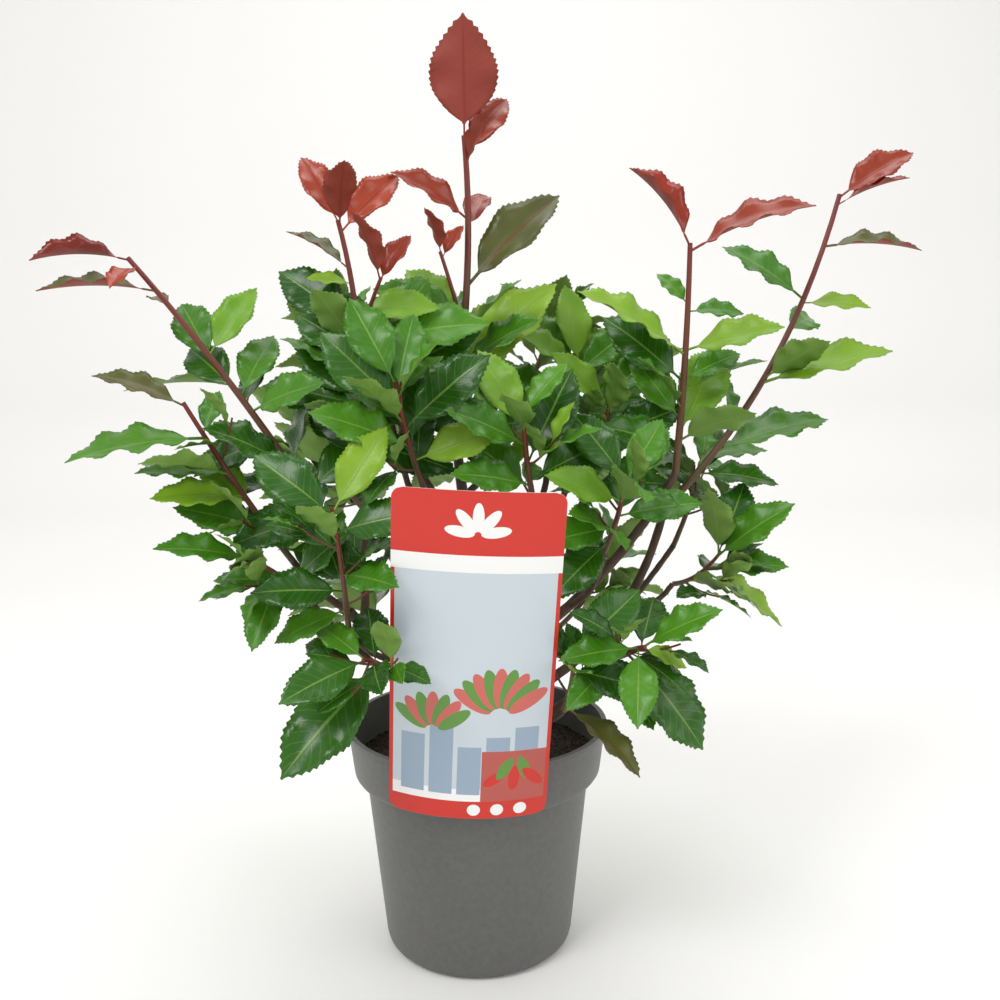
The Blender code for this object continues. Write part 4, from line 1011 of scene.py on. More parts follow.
@dataclass
class Shoot:
    """Stems of one mass and, once grown, its leaves."""

    name: str
    mass: Mass
    stems: list[Limb] = field(default_factory=list)
    plans: list[tuple] = field(default_factory=list)
    leaves: list[Leaf] = field(default_factory=list)

    def branch(self, carrier: Limb, rng: random.Random) -> None:
        """Lay out the stem and its side twigs, and plan their leaves.

        Args:
            carrier: limb whose tip the stem stands on.
            rng: source of the draws.
        """
        mass = self.mass
        path = Path(carrier.path.at(1.0), mass.tip, mass.bend)
        tip_radius = mass.radius * TWIG_TIP_SHARE
        self.stems = [Limb(path, mass.radius, tip_radius, TWIG_SIDES, STEM_SPANS, tip_plane(carrier))]
        self.plans = [(path, stance, True) for stance in mass.stances]
        row = Row(mass.leaves, mass.span, mass.length, mass.turn)
        self.plans += [(path, stance, False) for stance in row.stances(rng, path, mass)]
        for share, tip, count, length, tone in mass.side:
            twig = Path(path.at(share), tip, (0, 0, 2))
            self.stems.append(self._twig(twig, SIDE_TWIG_RADIUS))
            for k in range(count):
                heading = SIDE_LEAF_HEADING + SIDE_LEAF_TURN * k
                stance = Stance(1.0 - 0.05 * k, heading, SIDE_LEAF_LIFT, length * (1.0 - 0.2 * k), tone)
                self.plans.append((twig, stance, True))
        for k in range(mass.twigs):
            share = 0.3 + 0.3 * k
            turn = math.radians(mass.turn + 60.0 + 180.0 * k)
            twig = self._forked(path, share, turn, SIDE_TWIG_SPREAD, SIDE_TWIG_LENGTH, -4)
            self.stems.append(self._twig(twig, SIDE_TWIG_RADIUS))
            row = Row(SIDE_TWIG_LEAVES, (0.3, 1.0), mass.length * SIDE_TWIG_SCALE, mass.turn + 30.0)
            self.plans += [(twig, stance, False) for stance in row.stances(rng, twig, mass)]

    @staticmethod
    def _twig(path: Path, radius: float) -> Limb:
        """Slim twig of a foot radius in millimetres."""
        return Limb(path, radius, radius * SIDE_TWIG_TAPER, TWIG_SIDES, TWIG_SPANS)

    @staticmethod
    def _forked(path: Path, share: float, turn: float, spread: float, length: float, sag: float) -> Path:
        """Path of a twig that forks off a stem.

        Args:
            path: the stem's line.
            share: where it leaves the stem.
            turn: angle round the stem, in radians.
            spread: how far it leans out, as a share of its way along.
            length: its length in millimetres.
            sag: how far its middle hangs, in millimetres.

        Returns:
            The twig's line.
        """
        along = path.along(share)
        first, second = across_frame(along)
        way = (along + spread * (math.cos(turn) * first + math.sin(turn) * second)).normalized()
        start = path.at(share)
        return Path(start, start + length * way, (0, 0, sag))

    def grow(self, crown: Crown, rng: random.Random, by_hand: bool) -> None:
        """Grow the listed leaves, or those set by the rule.

        Args:
            crown: what already stands.
            rng: source of the draws.
            by_hand: which of the two.
        """
        for path, stance, steady in self.plans:
            if steady is by_hand:
                leaf = self.grow_leaf(crown, rng, path, stance, by_hand)
                if leaf is not None:
                    self.leaves.append(leaf)

    def grow_leaf(self, crown: Crown, rng: random.Random, path: Path, stance: Stance,
                  steady: bool) -> Leaf | None:
        """Grow one leaf, turned a little aside where its place is taken.

        Its upper face is tilted to the viewer where it was listed, and otherwise out of
        the crown.

        Args:
            crown: what already stands.
            rng: source of the draws.
            path: line of its stem.
            stance: how it stands.
            steady: whether it was listed.

        Returns:
            The leaf, or None where it finds no room.
        """
        swing = STEADY_SWING if steady else FREE_SWING
        root = path.at(stance.share * (1.0 - LEAF_ROOT_SUNK / path.length()))
        outward_way = VIEWER if steady else Vector((root.x, root.y, 0.0)).normalized()
        for attempt in range(TRIES):
            aside = swing * ((attempt + 1) // 2) * (1 if attempt % 2 else -1)
            up = 0.0 if attempt < 3 else rng.uniform(-swing, swing)
            heading = stance.heading + aside
            a = math.radians(heading)
            tilt = stance.tilt
            if not steady:
                tilt += rng.uniform(-LEAF_TILT_SPREAD, LEAF_TILT_SPREAD)
            roll = tilt * (math.sin(a) * outward_way.x - math.cos(a) * outward_way.y)
            leaf = Leaf(root, stance, heading, min(stance.lift + up, STEEPEST_LIFT), roll)
            if not crown.refuses(self.name, leaf):
                crown.add(self.name, leaf.tree(leaf.vertices), leaf.vertices)
                return leaf
        return None

    def refine(self, crown: Crown, rng: random.Random) -> None:
        """Carry the growth to finer twigs with smaller leaves, inside the plant's own box.

        Args:
            crown: what already stands.
            rng: source of the draws.
        """
        low, high = ([c / MM for c in corner] for corner in FIRST_BOX)
        for stem in list(self.stems):
            for k in range(FINE_TWIGS):
                share = 0.2 + 0.65 * (k + 0.6 * rng.random()) / FINE_TWIGS
                turn = rng.uniform(0.0, math.tau)
                twig = self._forked(stem.path, share, turn, FINE_SPREAD, FINE_LENGTH, -2)
                row = Row(FINE_LEAVES, (0.4, 1.0), self.mass.length * FINE_SCALE, rng.uniform(0.0, 360.0))
                stances = row.stances(rng, twig, self.mass)
                grown = [self.grow_leaf(crown, rng, twig, stance, False) for stance in stances]
                kept = [leaf for leaf in grown if leaf is not None and self._inside(leaf, low, high)]
                if kept:
                    self.leaves += kept
                    self.stems.append(self._twig(twig, FINE_RADIUS))

    @staticmethod
    def _inside(leaf: Leaf, low: list[float], high: list[float]) -> bool:
        """Whether a leaf stays a millimetre inside a box's two corners."""
        return all(low[i] + 1.0 < v[i] < high[i] - 1.0 for v in leaf.vertices for i in range(3))


class Colour(Enum):
    """Base colours, as sRGB hex."""

    DARK = "#37700f"
    DARK_DEEP = "#1f4f08"
    GREEN = "#579417"
    GREEN_DEEP = "#37720b"
    # Lime is partly the leaves' own colour as they age and partly painted light shining through backlit
    # leaves
    LIME = "#93b42a"
    LIME_DEEP = "#679a1c"
    BRONZE = "#6b6a2a"
    BRONZE_DEEP = "#4d5420"
    RED = "#ab3a20"
    RED_DEEP = "#6f2216"
    FLAME = "#b04524"
    FLAME_DEEP = "#852d17"
    UNDER_GREEN = "#71943f"
    UNDER_RED = "#8a3526"
    RIB_GREEN = "#7fa344"
    RIB_RED = "#7a1d1a"
    BARK = "#5b4433"
    BARK_DEEP = "#3a291f"
    TWIG = "#74281f"
    TWIG_LOW = "#4e4a2a"
    POT = "#585856"
    POT_WORN = "#5f5f5d"
    PEAT = "#1d1410"
    PEAT_DRY = "#3a2a20"
    CARD_RED = "#cb2a1b"
    CARD_WHITE = "#eeeeec"
    CARD_BLUE = "#c3cdd4"
    CARD_SLATE = "#93a5b8"
    CARD_BLUSH = "#b4544a"
    CARD_GREEN = "#5d8f3a"
    CARD_PINK = "#c9635a"
    FLOOR = "#f4f3f1"


def linear(colour: Colour) -> tuple[float, float, float, float]:
    """Linear RGBA of an sRGB hex colour.

    Args:
        colour: the named colour.

    Returns:
        Red, green and blue, and full opacity.
    """
    text = colour.value.lstrip("#")
    parts = [int(text[k:k + 2], 16) / 255.0 for k in (0, 2, 4)]
    out = [c / 12.92 if c <= 0.04045 else ((c + 0.055) / 1.055) ** 2.4 for c in parts]
    return (*out, 1.0)


def node(tree: Tree, kind: str, sets: dict[str, Any] | None = None, **links: Any) -> Node:
    """Add a node, set its properties and inputs, and link sockets into it.

    Args:
        tree: tree that takes the node.
        kind: node type name.
        sets: property name to value.
        links: input name (underscores for spaces) or i plus index, to a socket or a value.

    Returns:
        The new node.
    """
    new = tree.nodes.new(kind)
    for key, value in (sets or {}).items():
        setattr(new, key, value)
    for key, value in links.items():
        where = int(key[1:]) if key[0] == "i" and key[1:].isdigit() else key.replace("_", " ")
        socket = new.inputs[where]
        if isinstance(value, Socket):
            tree.links.new(value, socket)
        else:
            socket.default_value = value
    return new


def maths(tree: Tree, operation: str, *values: Any, clamp: bool = False) -> Socket:
    """Output of a sum on sockets or numbers, kept between nought and one by clamp."""
    links = {f"i{k}": value for k, value in enumerate(values)}
    return node(tree, "ShaderNodeMath", {"operation": operation, "use_clamp": clamp}, **links).outputs[0]


def mixed(tree: Tree, share: Any, first: Any, second: Any) -> Socket:
    """Colour between two colours or colour sockets, by the second one's share."""
    ends = [linear(c) if isinstance(c, Colour) else c for c in (first, second)]
    return node(tree, "ShaderNodeMix", {"data_type": "RGBA"}, i0=share, i6=ends[0], i7=ends[1]).outputs[2]


@dataclass(frozen=True)
class Finish:
    """A surface finish: its name, roughness, and relief as strength and depth in metres."""

    name: str
    roughness: float
    bump: float = 0.3
    distance: float = 0.0005

    def start(self) -> tuple[Material, Tree, Node]:
        """New material of this name, its tree and its shader.

        Returns:
            Material, tree and shader.
        """
        material = bpy.data.materials.new(self.name)
        material.use_nodes = True
        tree = material.node_tree
        shader = tree.nodes["Principled BSDF"]
        shader.inputs["Roughness"].default_value = self.roughness
        return material, tree, shader

    def raise_bump(self, tree: Tree, shader: Node, height: Socket) -> None:
        """Give the shader relief from the socket of a height."""
        bump = node(tree, "ShaderNodeBump", Strength=self.bump, Distance=self.distance, Height=height)
        tree.links.new(bump.outputs["Normal"], shader.inputs["Normal"])


@dataclass(frozen=True)
class LeafFinish(Finish):
    """Leathery evergreen leaf: waxy and glossy above, paler and matt below, with raised veins."""

    upper: Colour = Colour.GREEN
    deep: Colour = Colour.GREEN_DEEP
    under: Colour = Colour.UNDER_GREEN
    rib: Colour = Colour.RIB_GREEN
    under_roughness: float = 0.62
    sheen: float = 0.42
    vein_lean: float = -0.17
    vein_turns: float = 75.0
    cloud_scale: float = 45.0
    grain_scale: float = 260.0

    def build(self) -> Material:
        """Colour the leaf by the blade's own place, its side and the leaf's own shade.

        The clouds of tone are about 22 mm across and the grain about 4 mm.

        Returns:
            The material.
        """
        material, tree, shader = self.start()
        shader.inputs["Specular IOR Level"].default_value = self.sheen
        place = node(tree, "ShaderNodeAttribute", {"attribute_name": "blade"})
        parts = node(tree, "ShaderNodeSeparateXYZ", Vector=place.outputs["Vector"])
        seed = node(tree, "ShaderNodeAttribute", {"attribute_name": "seed"})
        along, across, below = parts.outputs[0], parts.outputs[1], parts.outputs[2]
        away = maths(tree, "ABSOLUTE", across)
        wave = maths(tree, "MULTIPLY_ADD", away, self.vein_lean, along)
        ripple = maths(tree, "SINE", maths(tree, "MULTIPLY", wave, self.vein_turns))
        veins = node(tree, "ShaderNodeMapRange", i0=ripple, i1=0.86, i2=1.0)
        rib = node(tree, "ShaderNodeMapRange", i0=away, i1=0.06, i2=0.02, i4=0.6)
        lines = maths(tree, "MULTIPLY_ADD", veins.outputs[0], 0.16, rib.outputs[0], clamp=True)
        spots = node(tree, "ShaderNodeTexCoord")
        where = spots.outputs["Object"]
        cloud = node(tree, "ShaderNodeTexNoise", Vector=where, Scale=self.cloud_scale, Detail=3.0)
        blend = maths(tree, "MULTIPLY_ADD", cloud.outputs["Fac"], 0.7, seed.outputs["Fac"], clamp=True)
        body = mixed(tree, maths(tree, "SUBTRACT", blend, 0.35, clamp=True), self.deep, self.upper)
        top = mixed(tree, lines, body, self.rib)
        low = mixed(tree, lines, self.under, self.rib)
        tree.links.new(mixed(tree, below, top, low), shader.inputs["Base Color"])
        gloss = node(tree, "ShaderNodeMapRange", i0=below, i3=self.roughness, i4=self.under_roughness)
        tree.links.new(gloss.outputs[0], shader.inputs["Roughness"])
        grain = node(tree, "ShaderNodeTexNoise", Vector=where, Scale=self.grain_scale, Detail=2.0)
        self.raise_bump(tree, shader, maths(tree, "MULTIPLY_ADD", grain.outputs["Fac"], 0.5, lines))
        return material


@dataclass(frozen=True)
class MottledFinish(Finish):
    """Two colours mottled by noise, with the same noise as relief.

    scale is in patches a metre, stretch draws them out along Z, and age names an attribute
    that carries the surface from the first colour to the second.
    """

    first: Colour = Colour.BARK
    second: Colour = Colour.BARK_DEEP
    scale: float = 60.0
    stretch: float = 1.0
    age: str = ""

    def build(self) -> Material:
        """Mix the colours by noise, and by age where it is named.

        Returns:
            The material.
        """
        material, tree, shader = self.start()
        spots = node(tree, "ShaderNodeTexCoord")
        drawn = node(tree, "ShaderNodeMapping", Vector=spots.outputs["Object"],
                     Scale=(1.0, 1.0, self.stretch))
        cloud = node(tree, "ShaderNodeTexNoise", Vector=drawn.outputs[0], Scale=self.scale, Detail=6.0,
                     Roughness=0.62)
        share = node(tree, "ShaderNodeMapRange", i0=cloud.outputs["Fac"], i1=0.36, i2=0.64).outputs[0]
        if self.age:
            age = node(tree, "ShaderNodeAttribute", {"attribute_name": self.age})
            share = maths(tree, "MULTIPLY_ADD", share, 0.25, age.outputs["Fac"], clamp=True)
        tree.links.new(mixed(tree, share, self.first, self.second), shader.inputs["Base Color"])
        self.raise_bump(tree, shader, cloud.outputs["Fac"])
        return material


class Print:
    """Flat print laid in layers over a base colour, in millimetres across and up a card."""

    def __init__(self, tree: Tree, base: Colour) -> None:
        """Read the card's own place.

        Args:
            tree: the material's tree.
            base: colour of the unprinted front.
        """
        self.tree = tree
        place = node(tree, "ShaderNodeAttribute", {"attribute_name": "print"})
        parts = node(tree, "ShaderNodeSeparateXYZ", Vector=place.outputs["Vector"])
        self.across, self.up, self.front = parts.outputs[0], parts.outputs[1], parts.outputs[2]
        self.colour: Any = base

    def _within(self, socket: Socket, low: float, high: float) -> Socket:
        """Mask of a socket between two values."""
        return maths(self.tree, "COMPARE", socket, (low + high) / 2.0, (high - low) / 2.0)

    def box(self, left: float, right: float, low: float, high: float, tone: Colour) -> None:
        """Lay a rectangle.

        Args:
            left: its left side.
            right: its right side.
            low: its foot.
            high: its top.
            tone: its colour.
        """
        inside = self._within(self.across, left, right)
        mask = maths(self.tree, "MULTIPLY", inside, self._within(self.up, low, high))
        self.colour = mixed(self.tree, mask, self.colour, tone)

    def oval(self, centre: tuple[float, float], radius: float, tone: Colour, squash: float = 1.0,
             turn: float = 0.0) -> None:
        """Lay an oval.

        Args:
            centre: its middle.
            radius: half its length.
            tone: its colour.
            squash: its width to its length.
            turn: turn of its length from the level, in degrees.
        """
        tree = self.tree
        aside = maths(tree, "SUBTRACT", self.across, centre[0])
        above = maths(tree, "SUBTRACT", self.up, centre[1])
        point = node(tree, "ShaderNodeCombineXYZ", i0=aside, i1=above)
        laid = node(tree, "ShaderNodeMapping", {"vector_type": "TEXTURE"}, Vector=point.outputs[0],
                    Rotation=(0.0, 0.0, math.radians(turn)), Scale=(1.0, squash, 1.0))
        far = node(tree, "ShaderNodeVectorMath", {"operation": "LENGTH"}, i0=laid.outputs[0])
        mask = maths(tree, "LESS_THAN", far.outputs["Value"], radius)
        self.colour = mixed(tree, mask, self.colour, tone)

    def fan(self, centre: tuple[float, float], reach: float, turns: range, radius: float, squash: float,
            tones: tuple[Colour, Colour]) -> None:
        """Lay leaf shapes in a fan.

        Args:
            centre: where the leaves meet.
            reach: how far their middles stand from there.
            turns: direction of each leaf, in degrees.
            radius: half a leaf's length.
            squash: a leaf's width to its length.
            tones: the two colours, in turn.
        """
        for k, turn in enumerate(turns):
            a = math.radians(turn)
            middle = (centre[0] + reach * math.cos(a), centre[1] + reach * math.sin(a))
            self.oval(middle, radius, tones[k % 2], squash, turn)


@dataclass(frozen=True)
class CardFinish(Finish):
    """Printed plastic card: smooth and a little glossy, white behind.

    Its print is a generic one: a red head and foot, a pale panel with plain bars, fans of
    leaf shapes and discs.
    """

    wide: float = 51.5
    high: float = 223.0
    border: float = 2.5
    foot: float = 13.0
    head: float = 40.0
    strip: float = 11.0
    bars: int = 5

    def build(self) -> Material:
        """Lay the print over the card by the card's own place.

        Returns:
            The material.
        """
        material, tree, shader = self.start()
        art = Print(tree, Colour.CARD_RED)
        left, right = -self.wide + self.border, self.wide - self.border
        panel_top = self.high - self.head
        art.box(left, right, self.foot, panel_top, Colour.CARD_BLUE)
        art.box(-self.wide, self.wide, panel_top - self.strip, panel_top, Colour.CARD_WHITE)
        art.box(left, right, self.foot, 22.0, Colour.CARD_WHITE)
        for k in range(self.bars):
            side = -self.wide + 8.0 + 18.0 * k
            art.box(side, side + 15.0, 18.0, 60.0 + 8.0 * math.sin(2.1 * k), Colour.CARD_SLATE)
        art.box(8.0, right, self.foot, 50.0, Colour.CARD_BLUSH)
        for k in range(5):
            tone = Colour.CARD_RED if k % 2 == 0 else Colour.CARD_GREEN
            art.oval((17.0 + 6.0 * k, 30.0 + 7.0 * (k % 2)), 9.0, tone, 0.4, 35.0 + 25.0 * k)
        pink, green, white = Colour.CARD_PINK, Colour.CARD_GREEN, Colour.CARD_WHITE
        art.fan((18.0, 74.0), 21.0, range(146, 33, -14), 14.0, 0.34, (pink, green))
        art.fan((-24.0, 62.0), 17.0, range(144, 35, -18), 12.0, 0.36, (green, pink))
        for k in range(3):
            art.oval((4.0 + 15.0 * k, 6.6), 4.2, white)
        art.fan((0.0, self.high - 27.0), 11.0, range(10, 171, 40), 9.0, 0.38, (white, white))
        tree.links.new(mixed(tree, art.front, white, art.colour), shader.inputs["Base Color"])
        spots = node(tree, "ShaderNodeTexCoord")
        cloud = node(tree, "ShaderNodeTexNoise", Vector=spots.outputs["Object"], Scale=30.0)
        self.raise_bump(tree, shader, cloud.outputs["Fac"])
        return material


# Young leaves are red and thin, with red veins; they age through bronze and lime to dark green. The bright
# lime is partly painted light: it also stands in for light shining through leaves lit from behind
YOUNG = (Colour.UNDER_RED, Colour.RIB_RED)
LEAF_FINISHES = {
    FLAG: LeafFinish("young red leaf", 0.34, 0.35, 0.0006, Colour.RED, Colour.RED_DEEP, *YOUNG),
    RED: LeafFinish("red leaf", 0.26, 0.3, 0.0006, Colour.FLAME, Colour.FLAME_DEEP, *YOUNG),
    FOLDED: LeafFinish("folded red leaf", 0.22, 0.3, 0.0006, Colour.RED, Colour.RED_DEEP, *YOUNG),
    BRONZE: LeafFinish("bronze leaf", 0.36, 0.35, 0.0006, Colour.BRONZE, Colour.BRONZE_DEEP, *YOUNG),
    # Lime leaves: their bright colour is partly painted light shining through them from behind
    LIME: LeafFinish("lime leaf", 0.4, 0.45, 0.0007, Colour.LIME, Colour.LIME_DEEP),
    GREEN: LeafFinish("green leaf", 0.32, 0.4, 0.0006, Colour.GREEN, Colour.GREEN_DEEP),
    DARK: LeafFinish("old green leaf", 0.26, 0.35, 0.0006, Colour.DARK, Colour.DARK_DEEP),
}
# Young stems go from olive at their foot to red at the tip; 8 mm mottling, drawn out along them
STEM_FINISH = MottledFinish("young stem", 0.42, 0.3, 0.0004, Colour.TWIG_LOW, Colour.TWIG, 120.0, 0.3, "age")
# Thin brown bark, dull, with 7 mm streaks drawn out upwards
BARK_FINISH = MottledFinish("young bark", 0.7, 0.6, 0.0009, Colour.BARK, Colour.BARK_DEEP, 150.0, 0.25)
# Polypropylene from the mould: an even satin grey with a faint 4 mm unevenness
POT_FINISH = MottledFinish("moulded grey plastic", 0.46, 0.08, 0.0002, Colour.POT, Colour.POT_WORN, 240.0)
# Moist peat: almost black and quite dull, with 3 mm crumbs
PEAT_FINISH = MottledFinish("moist peat", 0.9, 0.9, 0.0016, Colour.PEAT, Colour.PEAT_DRY, 320.0)
# Smooth printed plastic card
CARD_FINISH = CardFinish("printed card", 0.3, 0.05, 0.0003)
TONGUE_FINISH = MottledFinish("card tongue", 0.4, 0.05, 0.0003, Colour.CARD_WHITE, Colour.CARD_WHITE, 30.0)


class GrowthTree:
    """A geometry node tree with named inputs that ends in Realize Instances and Set Material."""

    def __init__(self, name: str, inputs: dict[str, str]) -> None:
        """Start a tree.

        Args:
            name: its name.
            inputs: name to socket type of each input besides the geometry and the finish.
        """
        self.group = bpy.data.node_groups.new(name, "GeometryNodeTree")
        face = self.group.interface
        face.new_socket("Geometry", in_out="INPUT", socket_type="NodeSocketGeometry")
        for label, kind in {**inputs, "Finish": "NodeSocketMaterial"}.items():
            face.new_socket(label, in_out="INPUT", socket_type=kind)
        face.new_socket("Geometry", in_out="OUTPUT", socket_type="NodeSocketGeometry")
        self.source = self.group.nodes.new("NodeGroupInput").outputs

    def add(self, kind: str, sets: dict[str, Any] | None = None, **links: Any) -> Node:
        """Add a node to the tree, as node does."""
        return node(self.group, kind, sets, **links)

    def attribute(self, name: str, kind: str) -> Socket:
        """Named attribute of the points, of a data type."""
        return self.add("GeometryNodeInputNamedAttribute", {"data_type": kind}, i0=name).outputs[0]

    def end(self, geometry: Socket) -> None:
        """Make the geometry whole, give it the finish and hand it out.

        Args:
            geometry: what the tree has made.
        """
        whole = self.add("GeometryNodeRealizeInstances", i0=geometry)
        dressed = self.add("GeometryNodeSetMaterial", Geometry=whole.outputs[0],
                           Material=self.source["Finish"])
        result = self.group.nodes.new("NodeGroupOutput")
        self.group.links.new(dressed.outputs[0], result.inputs[0])

    def run(self, host: Thing, name: str, values: dict[str, Any]) -> Thing:
        """Evaluate the tree on a host object and keep the result as a plain mesh.

        Args:
            host: object that the tree reads, which is removed.
            name: name of the result.
            values: input name to value.

        Returns:
            The finished piece, at the origin.
        """
        modifier = host.modifiers.new("growth", "NODES")
        modifier.node_group = self.group
        for item in self.group.interface.items_tree:
            if item.in_out == "INPUT" and item.name in values:
                modifier[item.identifier] = values[item.name]
        graph = bpy.context.evaluated_depsgraph_get()
        graph.update()
        mesh = bpy.data.meshes.new_from_object(host.evaluated_get(graph))
        mesh.name = name
        host.modifiers.clear()
        piece = bpy.data.objects.new(name, mesh)
        bpy.context.scene.collection.objects.link(piece)
        bpy.data.objects.remove(host)
        return piece


def host_of(points: list, edges: list, columns: dict[str, tuple[str, list]]) -> Thing:
    """Object of points and edges for a growth tree to read.

    Args:
        points: places in metres.
        edges: pairs of point numbers.
        columns: attribute name to its data type and values.

    Returns:
        The linked object.
    """
    mesh = bpy.data.meshes.new("growth points")
    mesh.from_pydata(points, edges, [])
    for label, (kind, values) in columns.items():
        slot = "vector" if kind == "FLOAT_VECTOR" else "value"
        mesh.attributes.new(label, kind, "POINT").data.foreach_set(slot, np.array(values).ravel())
    host = bpy.data.objects.new("growth points", mesh)
    bpy.context.scene.collection.objects.link(host)
    return host


def settle(piece: Thing, nodes: list[str]) -> None:
    """Let a finished piece ride on the root body and stand for its nodes.

    Args:
        piece: the piece.
        nodes: nodes that it replaces.
    """
    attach(piece, "root")
    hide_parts(*nodes)
    LOG.info("%s: %d faces", piece.name, len(piece.data.polygons))


@dataclass(frozen=True)
class LeafBlade:
    """Toothed, waved blade of unit length along +X, as a thin closed shell.

    Shares are of the leaf's length; the two powers shape its margin; wave is the height of
    the margin's waves and thick half the blade's thickness.
    """

    rows: int = 42
    columns: int = 6
    stalk: float = 0.13
    low_power: float = 0.95
    high_power: float = 1.12
    tooth: float = 0.013
    stalk_half: float = 0.008
    wave: float = 0.13
    thick: float = 0.0035
    stalk_thick: float = 0.009
    most_twist: float = 12.0

    def _half_width(self, shape: ToneShape, share: float, toothed: bool) -> float:
        """Half the blade's width at a share of its length.

        Args:
            shape: width of the leaf's tone.
            share: share of the length.
            toothed: whether a tooth stands there.

        Returns:
            Half width, as a share of the length.
        """
        peak = self.low_power / (self.low_power + self.high_power)
        most = peak ** self.low_power * (1.0 - peak) ** self.high_power
        t = self._past_stalk(share)
        half = 0.5 * shape.width * (t ** self.low_power) * ((1.0 - t) ** self.high_power) / most
        tooth = self.tooth * shape.width / 0.45 if toothed else 0.0
        return max(self.stalk_half, half + tooth)

    def _past_stalk(self, share: float) -> float:
        """Share of the blade alone, past its stalk."""
        return max(0.0, (share - self.stalk) / (1.0 - self.stalk))

    def _faces(self) -> list[tuple[int, ...]]:
        """Faces of the upper and lower skin and of the rim between them.

        Returns:
            Corner numbers of each face.
        """
        wide = self.columns + 1
        count = wide * (self.rows + 1)
        faces = []
        for row in range(self.rows):
            for column in range(self.columns):
                a = row * wide + column
                faces.append((a, a + wide, a + wide + 1, a + 1))
                b = count + a
                faces.append((b, b + 1, b + wide + 1, b + wide))
        rim = list(range(wide))
        rim += [row * wide + wide - 1 for row in range(1, self.rows + 1)]
        rim += [self.rows * wide + k for k in range(wide - 2, -1, -1)]
        rim += [row * wide for row in range(self.rows - 1, 0, -1)]
        for a, b in zip(rim, rim[1:] + rim[:1]):
            faces.append((a, b, count + b, count + a))
        return faces

    def make(self, shape: ToneShape, name: str, seed: int) -> Thing:
        """Make one variant.

        Args:
            shape: width, fold and arch of a leaf of this tone.
            name: mesh name.
            seed: seed of its waves and twist.

        Returns:
            An object outside the scene, for a growth tree to spread.
        """
        rng = random.Random(seed)
        phase = rng.uniform(0.0, math.tau)
        waves = rng.uniform(2.4, 3.6)
        twist = rng.uniform(-self.most_twist, self.most_twist)
        step = 1.0 / self.rows
        points = []
        marks = []
        for layer in (0, 1):
            centre = Vector((0.0, 0.0, 0.0))
            for row in range(self.rows + 1):
                s = row * step
                slope = math.radians(shape.arch * (0.5 - s))
                along = Vector((math.cos(slope), 0.0, math.sin(slope)))
                if row:
                    mid = math.radians(shape.arch * (0.5 - s + step / 2.0))
                    centre = centre + step * Vector((math.cos(mid), 0.0, math.sin(mid)))
                t = self._past_stalk(s)
                toothed = bool(row % 2) and 0.06 < t < 0.97
                half = self._half_width(shape, s, toothed)
                side = Matrix.Rotation(math.radians(twist * (s - 0.4)), 3, along) @ Vector((0.0, 1.0, 0.0))
                lift = along.cross(side)
                fold = math.radians(shape.fold) * min(1.0, t * 6.0)
                for column in range(self.columns + 1):
                    v = 2.0 * column / self.columns - 1.0
                    rise = abs(v) * half * math.sin(fold)
                    shift = 1.7 if v > 0 else 0.0
                    rise += self.wave * half * v * v * math.sin(math.tau * waves * t + phase + shift)
                    thick = self.thick * (1.0 - 0.5 * abs(v)) if t > 0.0 else self.stalk_thick
                    rise += thick if layer == 0 else -thick
                    forward = 0.5 * step if toothed and abs(v) == 1.0 else 0.0
                    points.append(centre + v * half * math.cos(fold) * side + rise * lift + forward * along)
                    marks.append((s, v, float(layer)))
        mesh = bpy.data.meshes.new(name)
        mesh.from_pydata([tuple(p) for p in points], [], self._faces())
        mark = mesh.attributes.new("blade", "FLOAT_VECTOR", "POINT")
        mark.data.foreach_set("vector", np.array(marks, np.float32).ravel())
        thing = bpy.data.objects.new(name, mesh)
        outward(thing)
        mesh.shade_smooth()
        return thing


